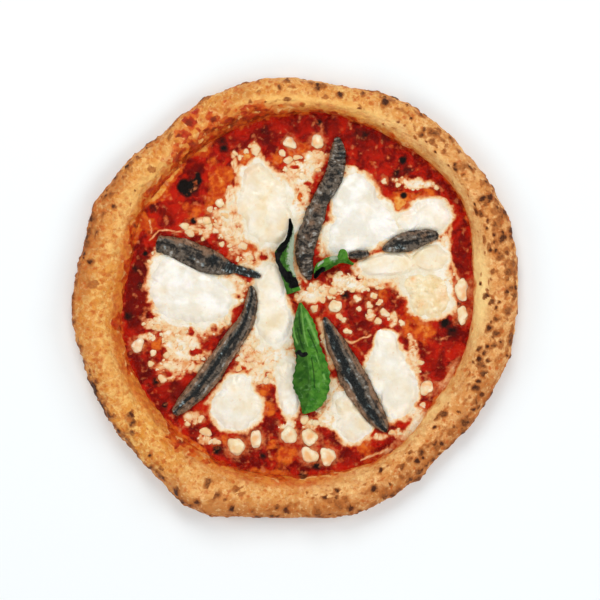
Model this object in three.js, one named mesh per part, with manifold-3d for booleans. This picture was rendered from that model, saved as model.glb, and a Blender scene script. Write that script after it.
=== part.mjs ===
// An anchovy pizza in the Neapolitan style: a puffed rim round a thin base, tomato sauce,
// melted mozzarella, crumbled cheese, six pieces of anchovy fillet and three basil leaves.
// Millimetres, +Z up. The origin is on the table, under the middle of the pizza's extents,
// and +Y points to the far edge. Angles are in degrees, anticlockwise from +X.

import * as THREE from "three";
import { mergeVertices } from "three/addons/utils/BufferGeometryUtils.js";
import Module from "manifold-3d";

const wasm = await Module();
wasm.setup();

// ---------------------------------------------------------------- driving dimensions

const RIM_RADIUS = 148.5; // mean radius of the outer edge, for a pizza of about 300 mm
const INNER_RADIUS = 119; // mean radius where the rim meets the flat base
const RIM_HEIGHT = 20.5; // mean height of the crest
const BASE_THICKNESS = 4; // dough under the toppings
const MIDDLE = [-0.6, 0.3]; // middle of the extents, in the frame that the places below use

const CREST_INSET = 13.5; // crest to outer edge, seen from above
const EQUATOR = 0.42; // height of the widest line, as a share of the crest's height
const FOOT_INSET = 8; // widest line to the edge of the flat underside

const GAP = 0.3; // clearance between pieces that touch
const SIDE_GAP = 0.45; // clearance beside a piece that lies in another
const SAUCE_EDGE = 1.6; // sauce edge to the rim's inner foot
const SAUCE_TOP = 5.7; // mean height of the sauce
const SAUCE_LIP = 0.7; // thickness of the sauce at its edge
const CHEESE_THICKNESS = 2.6;
const FILLET_THICKNESS = 4.6;
const FILLET_EDGE = 0.3; // height of a fillet's edges, as a share of its thickness
const FILLET_TIP = 1.2; // from the last section to the point
const GROOVE_SHARE = 0.15; // depth of the groove along a fillet's back, of its thickness
const GROOVE_SPREAD = 0.25; // its half width, of the fillet's
const LEAF_THICKNESS = 0.7;
const LEAF_REST = 9.15; // underside of a leaf where it lies on the cheese
const LEAF_RIPPLE = 0.35; // rise and fall of a leaf's edge

// Numbers of facets
const RIM_COLUMNS = 132;
const LOWER_ROWS = 3;
const UPPER_ROWS = 4;
const INNER_ROWS = 6;
const SAUCE_COLUMNS = 48;
const POOL_COLUMNS = 26;
const LUMP_SIDES = 8;
const CRUMB_SIDES = 5;
const FILLET_STATIONS = 14;
const FILLET_SIDES = 12;
const LEAF_STATIONS = 12;
const LEAF_COLUMNS = 6;

// ---------------------------------------------------------------- the rim's unevenness
// Each mark pushes an edge out, or in if negative, by `by` millimetres round the angle `at`,
// and fades over `spread` degrees.

const OUTER_MARKS = [
  { at: 22, spread: 14, by: 3.5 },
  { at: 50, spread: 14, by: 1.5 },
  { at: 80, spread: 9, by: -3 },
  { at: 112, spread: 10, by: -2 },
  { at: 132, spread: 13, by: -6.5 },
  { at: 165, spread: 10, by: -2 },
  { at: 183, spread: 8, by: 1 },
  { at: 244, spread: 11, by: 8.5 },
  { at: 270, spread: 7, by: -1.5 },
  { at: 287, spread: 7, by: 1.5 },
  { at: 314, spread: 14, by: -5.5 },
  { at: 335, spread: 9, by: -2 },
];
const INNER_MARKS = [
  { at: 30, spread: 16, by: 9 },
  { at: 52, spread: 16, by: 6 },
  { at: 78, spread: 14, by: 7 },
  { at: 100, spread: 12, by: 4 },
  { at: 135, spread: 14, by: -3 },
  { at: 170, spread: 16, by: -6 },
  { at: 245, spread: 12, by: 2 },
  { at: 298, spread: 12, by: 3 },
  { at: 325, spread: 12, by: -3 },
];
const HEIGHT_MARKS = [
  { at: 12, spread: 20, by: 1.5 },
  { at: 42, spread: 10, by: 2.5 },
  { at: 95, spread: 16, by: 1.5 },
  { at: 132, spread: 14, by: -3 },
  { at: 200, spread: 16, by: 2 },
  { at: 244, spread: 14, by: 3.5 },
  { at: 287, spread: 9, by: 1.5 },
  { at: 314, spread: 14, by: -2.5 },
  { at: 345, spread: 10, by: 1 },
];
// How gently the rim falls to the base: 0.65 is a puffed wall, and more is a long slope.
const SLOPE = 0.65;
const SLOPE_MARKS = [
  { at: 130, spread: 24, by: 0.45 },
  { at: 185, spread: 28, by: 0.35 },
  { at: 225, spread: 16, by: 0.25 },
];
const BLISTERS = { count: 64, seed: 7, radius: [5, 11], height: [0.5, 1.7] };

// ---------------------------------------------------------------- toppings, seen from above
// Melted cheese: each pool is the smooth union of ellipses [x, y, half width, half depth, turn].

const POOLS = [
  [[-22.5, 67, 18, 19, 0], [-17.5, 51, 17, 15.5, 0], [-26, 80, 10, 12, 0]],
  [[39, 66, 15, 19, -12], [48.5, 51, 17.5, 18, 0], [34.5, 41.5, 15, 13.5, 0], [60, 46, 10.5, 6.5, 0]],
  [[90, 56, 15.5, 12, 0], [77.5, 51, 9.5, 7.5, 0]],
  [[-80.5, 11.5, 18, 19, 0], [-61.5, -1, 20, 16, 0], [-72.5, 1.5, 23, 19, 0]],
  [[-40, -73.5, 17.5, 16, 0], [-39, -59, 10, 8.5, 0]],
  [[-17.5, 5.5, 11.5, 17.5, 0], [-14.5, -16, 13.5, 16, 0]],
  [[62, -49.5, 15.5, 18, 0], [70, -65.5, 12, 17.5, -20], [60.5, -31.5, 8.5, 10.5, 0]],
  [[38.5, -85, 12.5, 12.5, 0], [33.5, -71.5, 8.5, 9.5, 0]],
  [[90, 1.5, 15.5, 16, 0], [80.5, 9, 9.5, 8, 0]],
  [[64.5, 22.5, 23, 8.5, 4], [91.5, 27, 12, 9.5, 0]],
  [[-4, -61.5, 8.5, 19, 0], [-6, -49.5, 6.5, 9.5, 0]],
];
const POOL_BLEND = 8; // how sharply a pool's ellipses join
const POOL_REACH = 60; // furthest that a pool runs from its middle

// Anchovy fillets: points of the back line with the width there, [x, y, width].
const FILLETS = {
  anchovy_top: {
    grooved: false,
    line: [[28, 107.5, 4], [28.5, 99.5, 10], [27.5, 90.5, 12], [24.5, 79.5, 12.5], [17, 66, 11.5],
      [12, 52.5, 13.5], [7.5, 39, 14], [6, 27, 11.5], [7.5, 19, 9.5], [9, 13, 3.5]],
  },
  anchovy_left: {
    grooved: false,
    line: [[-93, 36.5, 10.5], [-87, 35.5, 12.5], [-76.5, 32.5, 15.5], [-64, 27, 17], [-53.5, 23, 15],
      [-45.5, 20.5, 9.5], [-40, 19.5, 6], [-32, 17, 6], [-24.5, 15, 3.5]],
  },
  anchovy_lower_left: {
    grooved: true,
    line: [[-30, 7.5, 3.5], [-29.5, 0, 8], [-32.5, -13.5, 10.5], [-41, -26.5, 13.5], [-49.5, -39.5, 14],
      [-58, -52, 15], [-67.5, -63, 13.5], [-76.5, -72.5, 10], [-81.5, -77, 5.5]],
  },
  anchovy_lower_right: {
    grooved: true,
    line: [[19.5, -13.5, 3.5], [23, -21.5, 8.5], [27.5, -32, 13.5], [33.5, -43, 16], [38.5, -53.5, 19],
      [44.5, -64.5, 17], [51, -75, 15], [57, -83.5, 10.5], [60.5, -89, 4.5]],
  },
  anchovy_right: {
    grooved: true,
    line: [[59, 33, 3.5], [65.5, 35, 9.5], [72.5, 37.5, 13.5], [80.5, 39.5, 12], [88.5, 41.5, 9.5],
      [95, 42.5, 5.5]],
  },
  anchovy_right_tail: {
    grooved: false,
    line: [[36.5, 28.5, 4.5], [42.5, 29, 6.5], [48.5, 30, 4.5]],
  },
};

// Basil: points of the midrib with the width to its left and right, walking from the stalk,
// and the leaf's height above its rest at its edges (cup) and along its length (arch).
const LEAVES = {
  basil_large: {
    cup: 1.8,
    arch: 1.2,
    line: [[3, -3, 0.8, 0.8], [4, -13.5, 6.5, 5], [5.5, -22.5, 8.5, 8], [7, -33.5, 9.5, 7.5],
      [8.5, -43, 12, 8.5], [9.5, -53.5, 13.5, 11.5], [9.5, -63, 12, 10.5], [7.5, -71, 8.5, 5],
      [5, -77.5, 0.8, 0.8]],
  },
  basil_dark: {
    cup: 2.2,
    arch: 0.8,
    line: [[-4, 53.5, 0.6, 0.6], [-3.2, 46, 2, 2], [-4, 38.5, 3, 3.2], [-6.5, 29.5, 5, 7.4],
      [-6.2, 21, 4.6, 5.4], [-4.2, 12, 5, 4.2], [-1.5, 3.8, 5, 4.6]],
  },
  basil_curled: {
    cup: 1.6,
    arch: 1.5,
    line: [[12.8, 13.2, 0.8, 0.8], [16, 19, 3.8, 2.6], [20, 22, 4.2, 3.4], [25, 24.2, 4.2, 2.8],
      [28.8, 25.4, 3.4, 2.2], [31.8, 26, 7.2, 2.4], [34.6, 25.2, 1.6, 2.2], [38.8, 22.6, 0.8, 0.8]],
  },
};

// The largest lumps of crumbled cheese: [x, y, half width, half depth].
const LUMPS = [
  [9.5, -93.5, 5.5, 5.5], [9, -105.2, 5.5, 5.3], [21.3, -106, 4.5, 6.5], [-40, -100, 6, 5.5],
  [-26.5, -95, 4, 5.5], [-4.5, -92, 5.5, 5.5], [88, -60.5, 4.5, 4.5], [112, -11.5, 3.8, 6],
  [111.5, 5.5, 4.2, 7.5], [-106.5, -32, 4, 4.5], [-4, 104, 4, 4], [14.5, 105.5, 3.5, 5.5],
  [26.5, -5.5, 4, 4.5], [-45.8, -14, 2.6, 3],
];
const LUMP_HEIGHT = 0.62; // of its half width

// Where finer crumbs lie thick on the sauce: ellipses [x, y, half width, half depth].
const CRUMB_AREAS = [
  [-77, -31, 26, 15], [-88, -46, 9, 9], [-30, -38, 16, 12], [3, 89, 15, 14], [-50, 56, 8, 14],
  [-66, 49, 12, 6], [-38, 39, 13, 8], [17, -1, 9, 11], [40, 9, 21, 7], [47, -2, 13, 7],
  [66, -14, 12, 9], [10, -83, 15, 8], [-54, -95, 8, 7], [-60, -84, 6, 6], [50, 82, 14, 5],
  [30, -20, 8, 9], [-31, 94, 10, 9],
];
const CRUMBS = { count: 60, seed: 11, sizes: [3.2, 1.8], height: 0.6, sunk: 0.5, tries: 3000 };

// ---------------------------------------------------------------- numbers and curves

const radians = THREE.MathUtils.degToRad;
const unit = (x) => THREE.MathUtils.clamp(x, 0, 1);

// The turn from one angle to another, between -180 and 180.
const turnFrom = (from, to) => THREE.MathUtils.euclideanModulo(to - from + 180, 360) - 180;

function marked(degrees, marks) {
  return marks.reduce(
    (sum, { at, spread, by }) => sum + by * Math.exp(-((turnFrom(at, degrees) / spread) ** 2)),
    0,
  );
}

const outerRadius = (degrees) => RIM_RADIUS + marked(degrees, OUTER_MARKS);
const innerRadius = (degrees) => INNER_RADIUS + marked(degrees, INNER_MARKS);
const crestHeight = (degrees) => RIM_HEIGHT + marked(degrees, HEIGHT_MARKS);
const angleOf = (x, y) => THREE.MathUtils.radToDeg(Math.atan2(y, x));

// A seeded source of even draws from 0 to 1.
function draws(seed) {
  let state = seed >>> 0;
  return () => {
    state = (Math.imul(state, 1664525) + 1013904223) >>> 0;
    return state / 2 ** 32;
  };
}

// The rows of numbers in `points` read as one smooth curve, at t from 0 to 1.
function curveAt(points, t) {
  const last = points.length - 1;
  const place = unit(t) * last;
  const i = Math.min(Math.floor(place), last - 1);
  const f = place - i;
  const [p0, p1, p2, p3] = [i - 1, i, i + 1, i + 2].map((k) => points[Math.min(Math.max(k, 0), last)]);
  return p1.map((value, k) => {
    const [a, b, c, d] = [p0[k], value, p2[k], p3[k]];
    return b + 0.5 * f * (c - a + f * (2 * a - 5 * b + 4 * c - d + f * (3 * (b - c) + d - a)));
  });
}

// The unit vector to the left of a curve's course, seen from above.
function leftOf(points, t) {
  const step = 0.01;
  const [ahead, behind] = [curveAt(points, unit(t + step)), curveAt(points, unit(t - step))];
  return new THREE.Vector2(behind[1] - ahead[1], ahead[0] - behind[0]).normalize();
}

// Height of the sauce's wet surface.
function sauceTop(x, y) {
  return SAUCE_TOP + 0.25 * Math.sin(x / 13 + 0.4) * Math.cos(y / 17) + 0.15 * Math.sin((x + y) / 21);
}

// Above 0 inside a pool, 0 on its outline.
function poolField(x, y, ellipses) {
  const sum = ellipses.reduce((total, [cx, cy, halfWidth, halfDepth, turn]) => {
    const [c, s] = [Math.cos(radians(turn)), Math.sin(radians(turn))];
    const across = ((x - cx) * c + (y - cy) * s) / halfWidth;
    const along = ((y - cy) * c - (x - cx) * s) / halfDepth;
    return total + Math.exp(POOL_BLEND * (1 - Math.hypot(across, along)));
  }, 0);
  return Math.log(sum) / POOL_BLEND;
}

function poolMiddle(ellipses) {
  const mean = (k) => ellipses.reduce((sum, e) => sum + e[k], 0) / ellipses.length;
  return [mean(0), mean(1)];
}

// How far a pool reaches from its middle at an angle in radians.
function poolReach(ellipses, [cx, cy], angle) {
  const step = 0.25;
  let reach = POOL_REACH;
  while (reach > step) {
    if (poolField(cx + reach * Math.cos(angle), cy + reach * Math.sin(angle), ellipses) > 0) return reach;
    reach -= step;
  }
  return step;
}

// ---------------------------------------------------------------- closed surfaces

// The surface through a row of rings, closed by a point at each end. Each ring runs
// anticlockwise, seen from the end that the rings lead to.
function skin(start, rings, end) {
  const around = rings[0].length;
  const points = [start, ...rings.flat(), end];
  const lastRing = 1 + (rings.length - 1) * around;
  const faces = [];
  for (let i = 0; i < around; i++) {
    const j = (i + 1) % around;
    faces.push(0, 1 + j, 1 + i);
    faces.push(lastRing + i, lastRing + j, points.length - 1);
    for (let ring = 0; ring < rings.length - 1; ring++) {
      const [below, above] = [1 + ring * around, 1 + (ring + 1) * around];
      faces.push(below + i, below + j, above + j, below + i, above + j, above + i);
    }
  }
  return surface(points, faces);
}

// A sheet between two grids of points that run alike. Columns run to the left of the rows' course.
function slab(top, bottom) {
  const [rows, columns] = [top.length, top[0].length];
  const points = [...top.flat(), ...bottom.flat()];
  const under = rows * columns;
  const faces = [];
  for (let r = 0; r < rows - 1; r++) {
    for (let c = 0; c < columns - 1; c++) {
      const [a, b] = [r * columns + c, (r + 1) * columns + c];
      faces.push(a, b, b + 1, a, b + 1, a + 1);
      faces.push(under + a, under + b + 1, under + b, under + a, under + a + 1, under + b + 1);
    }
  }
  const border = [];
  for (let r = 0; r < rows - 1; r++) border.push(r * columns);
  for (let c = 0; c < columns - 1; c++) border.push((rows - 1) * columns + c);
  for (let r = rows - 1; r > 0; r--) border.push(r * columns + columns - 1);
  for (let c = columns - 1; c > 0; c--) border.push(c);
  border.forEach((a, k) => {
    const b = border[(k + 1) % border.length];
    faces.push(a, under + a, under + b, a, under + b, b);
  });
  return surface(points, faces);
}

function surface(points, faces) {
  const geometry = new THREE.BufferGeometry().setFromPoints(points);
  geometry.setIndex(faces);
  return geometry;
}

function solidOf(geometry) {
  const bare = geometry.clone();
  bare.deleteAttribute("normal");
  bare.deleteAttribute("uv");
  const merged = mergeVertices(bare, 1e-4);
  return new wasm.Manifold(
    new wasm.Mesh({
      numProp: 3,
      vertProperties: merged.attributes.position.array,
      triVerts: new Uint32Array(merged.index.array),
    }),
  );
}

function geometryOf(solid) {
  const mesh = solid.getMesh();
  const geometry = new THREE.BufferGeometry();
  geometry.setAttribute("position", new THREE.BufferAttribute(mesh.vertProperties, mesh.numProp));
  geometry.setIndex(new THREE.BufferAttribute(mesh.triVerts, 1));
  return geometry;
}

// What a cut leaves, without the scraps that it separates.
function largest(solid) {
  return solid.decompose().reduce((a, b) => (b.volume() > a.volume() ? b : a));
}

// ---------------------------------------------------------------- crust

// Blisters of the rim: an angle, a share of the way from foot to inner edge, a radius and a height.
function blisters() {
  const draw = draws(BLISTERS.seed);
  const between = ([low, high]) => low + (high - low) * draw();
  return Array.from({ length: BLISTERS.count }, (_, i) => ({
    at: ((i + draw()) * 360) / BLISTERS.count,
    share: 0.2 + 0.65 * draw(),
    radius: between(BLISTERS.radius),
    height: between(BLISTERS.height),
  }));
}

const rimBlisters = blisters();
const RIM_GIRTH = 62; // length of the rim's skin from foot to inner edge

function blistered(degrees, share) {
  return rimBlisters.reduce((sum, blister) => {
    const across = radians(turnFrom(blister.at, degrees)) * RIM_RADIUS;
    const along = (share - blister.share) * RIM_GIRTH;
    return sum + blister.height * Math.exp(-(across ** 2 + along ** 2) / blister.radius ** 2);
  }, 0);
}

// A point of the rim's skin, [radius, height], at a share from 0, its foot, to 1, its inner edge.
const LOWER_SHARE = 0.2;
const UPPER_SHARE = 0.48;

function rimPoint(degrees, share) {
  const [outer, inner, crest] = [outerRadius(degrees), innerRadius(degrees), crestHeight(degrees)];
  const widest = crest * EQUATOR;
  const crestRadius = outer - CREST_INSET;
  if (share < LOWER_SHARE) {
    const turn = (share / LOWER_SHARE) * (Math.PI / 2);
    return [outer - FOOT_INSET * (1 - Math.sin(turn)), widest * (1 - Math.cos(turn))];
  }
  if (share < UPPER_SHARE) {
    const turn = ((share - LOWER_SHARE) / (UPPER_SHARE - LOWER_SHARE)) * (Math.PI / 2);
    return [outer - CREST_INSET * (1 - Math.cos(turn)), widest + (crest - widest) * Math.sin(turn)];
  }
  const across = Math.sin(((share - UPPER_SHARE) / (1 - UPPER_SHARE)) * (Math.PI / 2));
  const fall = (1 - across ** 2) ** (SLOPE + marked(degrees, SLOPE_MARKS));
  return [crestRadius - (crestRadius - inner) * across, BASE_THICKNESS + (crest - BASE_THICKNESS) * fall];
}

// The same point with its blisters, which push it away from the rim's core.
function rimVertex(degrees, share) {
  const [radius, height] = rimPoint(degrees, share);
  const core = [outerRadius(degrees) - CREST_INSET, crestHeight(degrees) * EQUATOR];
  const away = new THREE.Vector2(radius - core[0], height - core[1]).normalize();
  const edges = unit(share / 0.1) * unit((1 - share) / 0.1); // flat at the foot and at the base
  const push = edges * blistered(degrees, share);
  const [r, z] = [radius + away.x * push, Math.max(height + away.y * push, 0)];
  return new THREE.Vector3(r * Math.cos(radians(degrees)), r * Math.sin(radians(degrees)), z);
}

function crust() {
  const steps = (from, to, rows) => Array.from({ length: rows }, (_, i) => from + (i / rows) * (to - from));
  const shares = [
    ...steps(0, LOWER_SHARE, LOWER_ROWS),
    ...steps(LOWER_SHARE, UPPER_SHARE, UPPER_ROWS),
    ...steps(UPPER_SHARE, 1, INNER_ROWS),
    1,
  ];
  const turns = Array.from({ length: RIM_COLUMNS }, (_, i) => (i * 360) / RIM_COLUMNS);
  const rings = shares.map((share) => turns.map((degrees) => rimVertex(degrees, share)));
  return skin(new THREE.Vector3(0, 0, 0), rings, new THREE.Vector3(0, 0, BASE_THICKNESS));
}

// ---------------------------------------------------------------- sauce

const sauceRadius = (degrees) => innerRadius(degrees) - SAUCE_EDGE;

const SAUCE_SHARES = [0.97, 0.85, 0.7, 0.54, 0.37, 0.19]; // rings of its top, as shares of its radius

function sauceLayer() {
  const floor = BASE_THICKNESS + GAP;
  const ring = (share, heightAt) =>
    Array.from({ length: SAUCE_COLUMNS }, (_, i) => {
      const degrees = (i * 360) / SAUCE_COLUMNS;
      const r = sauceRadius(degrees) * share;
      const [x, y] = [r * Math.cos(radians(degrees)), r * Math.sin(radians(degrees))];
      return new THREE.Vector3(x, y, heightAt(x, y));
    });
  const rings = [
    ring(1, () => floor),
    ring(1, () => floor + SAUCE_LIP),
    ...SAUCE_SHARES.map((share) => ring(share, sauceTop)),
  ];
  return skin(new THREE.Vector3(0, 0, floor), rings, new THREE.Vector3(0, 0, sauceTop(0, 0)));
}

// A lump of cheese, `lift` above the sauce's surface. Each of its levels is a share of its width
// and a share of its height.
const LUMP_LEVELS = [[0.85, 0], [1, 0.35], [0.7, 0.85]];
const CRUMB_LEVELS = [[1, 0], [0.75, 0.75]];

function lump([x, y, halfWidth, halfDepth], height, lift, sides, levels) {
  const foot = sauceTop(x, y) + lift;
  const ring = (spread, share) =>
    Array.from({ length: sides }, (_, i) => {
      const turn = (i / sides) * 2 * Math.PI;
      const uneven = 1 + 0.1 * Math.sin(2 * turn + x) + 0.06 * Math.sin(3 * turn + y);
      return new THREE.Vector3(
        x + halfWidth * spread * uneven * Math.cos(turn),
        y + halfDepth * spread * uneven * Math.sin(turn),
        foot + share * height,
      );
    });
  return skin(
    new THREE.Vector3(x, y, foot),
    levels.map(([spread, share]) => ring(spread, share)),
    new THREE.Vector3(x, y, foot + height),
  );
}

function onFillet(x, y, clearance) {
  const samples = 40;
  return Object.values(FILLETS).some(({ line }) =>
    Array.from({ length: samples + 1 }, (_, i) => curveAt(line, i / samples)).some(
      ([px, py, width]) => Math.hypot(px - x, py - y) < width / 2 + clearance,
    ),
  );
}

function onPool(x, y, clearance) {
  const slimmest = 12; // the field falls by 1 over a pool's half width, and this is a small one
  return POOLS.some((ellipses) => poolField(x, y, ellipses) > -clearance / slimmest);
}

function onLump(x, y, clearance) {
  return LUMPS.some(([cx, cy, w, d]) => Math.hypot(cx - x, cy - y) < Math.max(w, d) + clearance);
}

// Places of the crumbs that the sauce carries, largest first, each clear of what else lies there.
function crumbPlaces() {
  const draw = draws(CRUMBS.seed);
  const places = [];
  for (let i = 0; i < CRUMBS.tries && places.length < CRUMBS.count; i++) {
    const area = CRUMB_AREAS[Math.floor(draw() * CRUMB_AREAS.length)];
    const [turn, out] = [draw() * 2 * Math.PI, Math.sqrt(draw())];
    const [x, y] = [area[0] + area[2] * out * Math.cos(turn), area[1] + area[3] * out * Math.sin(turn)];
    const size = THREE.MathUtils.lerp(...CRUMBS.sizes, places.length / CRUMBS.count);
    const clear = size * 1.2 + 0.8;
    const outside = Math.hypot(x, y) > sauceRadius(angleOf(x, y)) - 6;
    const crowded = places.some((p) => Math.hypot(p.x - x, p.y - y) < p.size + size + 1);
    if (outside || crowded || onPool(x, y, clear) || onFillet(x, y, clear) || onLump(x, y, clear)) continue;
    places.push({ x, y, size });
  }
  return places;
}

function sauce() {
  return crumbPlaces().reduce((solid, { x, y, size }) => {
    const height = size * CRUMBS.height + CRUMBS.sunk;
    const crumb = lump([x, y, size, size * 0.9], height, -CRUMBS.sunk, CRUMB_SIDES, CRUMB_LEVELS);
    return solid.add(solidOf(crumb));
  }, solidOf(sauceLayer()));
}

// ---------------------------------------------------------------- mozzarella

function poolRing(ellipses, middle, grow, share, heightAt) {
  return Array.from({ length: POOL_COLUMNS }, (_, i) => {
    const angle = (i / POOL_COLUMNS) * 2 * Math.PI;
    const reach = (poolReach(ellipses, middle, angle) + grow) * share;
    const [x, y] = [middle[0] + reach * Math.cos(angle), middle[1] + reach * Math.sin(angle)];
    return new THREE.Vector3(x, y, heightAt(x, y));
  });
}

const POOL_LEVELS = [[0.55, 0], [0.98, 0], [1, 0.35], [0.92, 0.8], [0.55, 1]];
const POOL_DIP = 0.9; // height at a pool's middle, as a share

function pool(ellipses) {
  const middle = poolMiddle(ellipses);
  const raised = (share) => (x, y) => sauceTop(x, y) + GAP + CHEESE_THICKNESS * share;
  const rings = POOL_LEVELS.map(([spread, share]) => poolRing(ellipses, middle, 0, spread, raised(share)));
  const end = (share) => new THREE.Vector3(...middle, raised(share)(...middle));
  return skin(end(0), rings, end(POOL_DIP));
}

// Everything above and below a pool, and SIDE_GAP round it.
const [CUT_LOW, CUT_HIGH] = [-5, 40];

function poolCutter(ellipses) {
  const middle = poolMiddle(ellipses);
  const rings = [CUT_LOW, CUT_HIGH].map((z) => poolRing(ellipses, middle, SIDE_GAP, 1, () => z));
  return skin(new THREE.Vector3(...middle, CUT_LOW), rings, new THREE.Vector3(...middle, CUT_HIGH));
}

// ---------------------------------------------------------------- anchovies

// A fillet's section from its left edge over its back to the right edge and back underneath:
// shares of its half width and of its thickness.
function filletSection(grooved) {
  return Array.from({ length: FILLET_SIDES }, (_, i) => {
    const turn = (i / FILLET_SIDES) * 2 * Math.PI;
    const side = Math.sign(Math.cos(turn)) * Math.abs(Math.cos(turn)) ** 0.8;
    const groove = grooved ? GROOVE_SHARE * Math.exp(-((side / GROOVE_SPREAD) ** 2)) : 0;
    const isEdge = i % (FILLET_SIDES / 2) === 0;
    if (isEdge) return [side, FILLET_EDGE];
    return [side, Math.max(Math.sin(turn), 0) ** 0.7 - (turn < Math.PI ? groove : 0)];
  });
}

function fillet({ line, grooved }) {
  const widest = Math.max(...line.map((p) => p[2]));
  const sides = filletSection(grooved);
  const ring = (t) => {
    const [x, y, width] = curveAt(line, t);
    const left = leftOf(line, t);
    const thick = FILLET_THICKNESS * Math.sqrt(width / widest);
    return sides.map(([side, share]) => {
      const [px, py] = [x + (left.x * side * width) / 2, y + (left.y * side * width) / 2];
      return new THREE.Vector3(px, py, sauceTop(px, py) + GAP + thick * share);
    });
  };
  const rings = Array.from({ length: FILLET_STATIONS }, (_, i) => ring(i / (FILLET_STATIONS - 1)));
  const tip = (t, onward) => {
    const [x, y] = curveAt(line, t);
    const left = leftOf(line, t);
    const [px, py] = [x + left.y * onward, y - left.x * onward];
    return new THREE.Vector3(px, py, sauceTop(px, py) + GAP + 1);
  };
  return skin(tip(0, -FILLET_TIP), rings, tip(1, FILLET_TIP));
}

// Everything above and below a fillet, and SIDE_GAP round it.
function filletCutter({ line }) {
  const end = FILLET_TIP + SIDE_GAP;
  const stops = Array.from({ length: FILLET_STATIONS }, (_, i) => [i / (FILLET_STATIONS - 1), 0]);
  const grid = (z) =>
    [[0, -end], ...stops, [1, end]].map(([t, onward]) => {
      const [x, y, width] = curveAt(line, t);
      const left = leftOf(line, t);
      const [cx, cy] = [x + left.y * onward, y - left.x * onward];
      return [-1, 1].map((side) => {
        const reach = side * (width / 2 + SIDE_GAP);
        return new THREE.Vector3(cx + left.x * reach, cy + left.y * reach, z);
      });
    });
  return slab(grid(CUT_HIGH), grid(CUT_LOW));
}

// ---------------------------------------------------------------- basil

function leaf({ line, cup, arch }) {
  const top = Array.from({ length: LEAF_STATIONS }, (_, i) => {
    const t = i / (LEAF_STATIONS - 1);
    const [x, y, leftWidth, rightWidth] = curveAt(line, t);
    const left = leftOf(line, t);
    return Array.from({ length: LEAF_COLUMNS + 1 }, (_, k) => {
      const side = (2 * k) / LEAF_COLUMNS - 1;
      const reach = side * (side > 0 ? leftWidth : rightWidth);
      const ripple = LEAF_RIPPLE * (1 + Math.sin(9 * t + 2.2 * side)) * Math.abs(side);
      const height = cup * side ** 2 * Math.sin(Math.PI * t) + arch * Math.sin(Math.PI * t) ** 2 + ripple;
      return new THREE.Vector3(x + left.x * reach, y + left.y * reach, LEAF_REST + LEAF_THICKNESS + height);
    });
  });
  const bottom = top.map((row) => row.map((p) => new THREE.Vector3(p.x, p.y, p.z - LEAF_THICKNESS)));
  return slab(top, bottom);
}

// ---------------------------------------------------------------- assembly

const finish = (color, roughness) =>
  new THREE.MeshStandardMaterial({ color, roughness, metalness: 0, flatShading: true });

const doughFinish = finish(0xd79c5d, 0.8);
const sauceFinish = finish(0xa3210d, 0.3);
const cheeseFinish = finish(0xf3ecd9, 0.4);
const filletFinish = finish(0x4b4743, 0.35);
const basilFinish = finish(0x2f6b24, 0.5);

const pizza = new THREE.Group();
const toppings = new THREE.Group();

function place(group, name, geometry, material) {
  const mesh = new THREE.Mesh(geometry, material);
  mesh.name = name;
  group.add(mesh);
}

place(pizza, "crust", crust(), doughFinish);
place(toppings, "tomato_sauce", geometryOf(sauce()), sauceFinish);

// Each pool gives way to the fillets and to the pools before it.
const filletCutters = Object.values(FILLETS).map((spec) => solidOf(filletCutter(spec)));
POOLS.forEach((ellipses, i) => {
  const earlier = POOLS.slice(0, i).map((other) => solidOf(poolCutter(other)));
  const cutters = [...filletCutters, ...earlier];
  const cut = cutters.reduce((solid, cutter) => solid.subtract(cutter), solidOf(pool(ellipses)));
  place(toppings, `mozzarella_${i + 1}`, geometryOf(largest(cut)), cheeseFinish);
});

for (const [name, spec] of Object.entries(FILLETS)) place(toppings, name, fillet(spec), filletFinish);
for (const [name, spec] of Object.entries(LEAVES)) place(toppings, name, leaf(spec), basilFinish);

LUMPS.forEach((spec, i) => {
  const height = Math.min(spec[2], spec[3]) * LUMP_HEIGHT;
  place(toppings, `cheese_lump_${i + 1}`, lump(spec, height, GAP, LUMP_SIDES, LUMP_LEVELS), cheeseFinish);
});

pizza.add(toppings);
pizza.position.set(-MIDDLE[0], -MIDDLE[1], 0);

export default pizza;
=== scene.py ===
"""Looks of the anchovy pizza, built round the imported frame.

Shapes are worked out in millimetres, in the frame that the places below use, and moved to
the row frame, in metres, when a mesh is made. Angles are in degrees, anticlockwise from +X.
"""

import math
from types import SimpleNamespace

import bpy
import numpy as np
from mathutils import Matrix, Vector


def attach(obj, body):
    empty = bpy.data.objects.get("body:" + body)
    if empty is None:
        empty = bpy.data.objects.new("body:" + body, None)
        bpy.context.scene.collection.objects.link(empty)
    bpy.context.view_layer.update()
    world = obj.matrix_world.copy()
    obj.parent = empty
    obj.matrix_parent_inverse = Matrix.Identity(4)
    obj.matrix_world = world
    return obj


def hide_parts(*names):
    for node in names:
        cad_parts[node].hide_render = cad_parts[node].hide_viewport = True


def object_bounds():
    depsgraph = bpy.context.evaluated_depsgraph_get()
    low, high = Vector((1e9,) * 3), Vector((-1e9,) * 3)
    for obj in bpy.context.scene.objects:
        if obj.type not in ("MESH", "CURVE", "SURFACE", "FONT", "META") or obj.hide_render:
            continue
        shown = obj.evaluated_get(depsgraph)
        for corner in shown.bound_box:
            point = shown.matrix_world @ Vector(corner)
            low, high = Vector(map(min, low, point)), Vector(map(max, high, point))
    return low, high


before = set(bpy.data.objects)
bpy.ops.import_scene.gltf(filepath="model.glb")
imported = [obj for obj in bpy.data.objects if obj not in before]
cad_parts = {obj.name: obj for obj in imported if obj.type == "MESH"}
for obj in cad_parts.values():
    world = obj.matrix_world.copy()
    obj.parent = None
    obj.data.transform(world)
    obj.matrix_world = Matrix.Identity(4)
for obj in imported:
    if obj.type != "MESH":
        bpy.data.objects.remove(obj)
cad_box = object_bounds()

# ---------------- sizes of the solids
# The part's source has the same values and says what they are.

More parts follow.
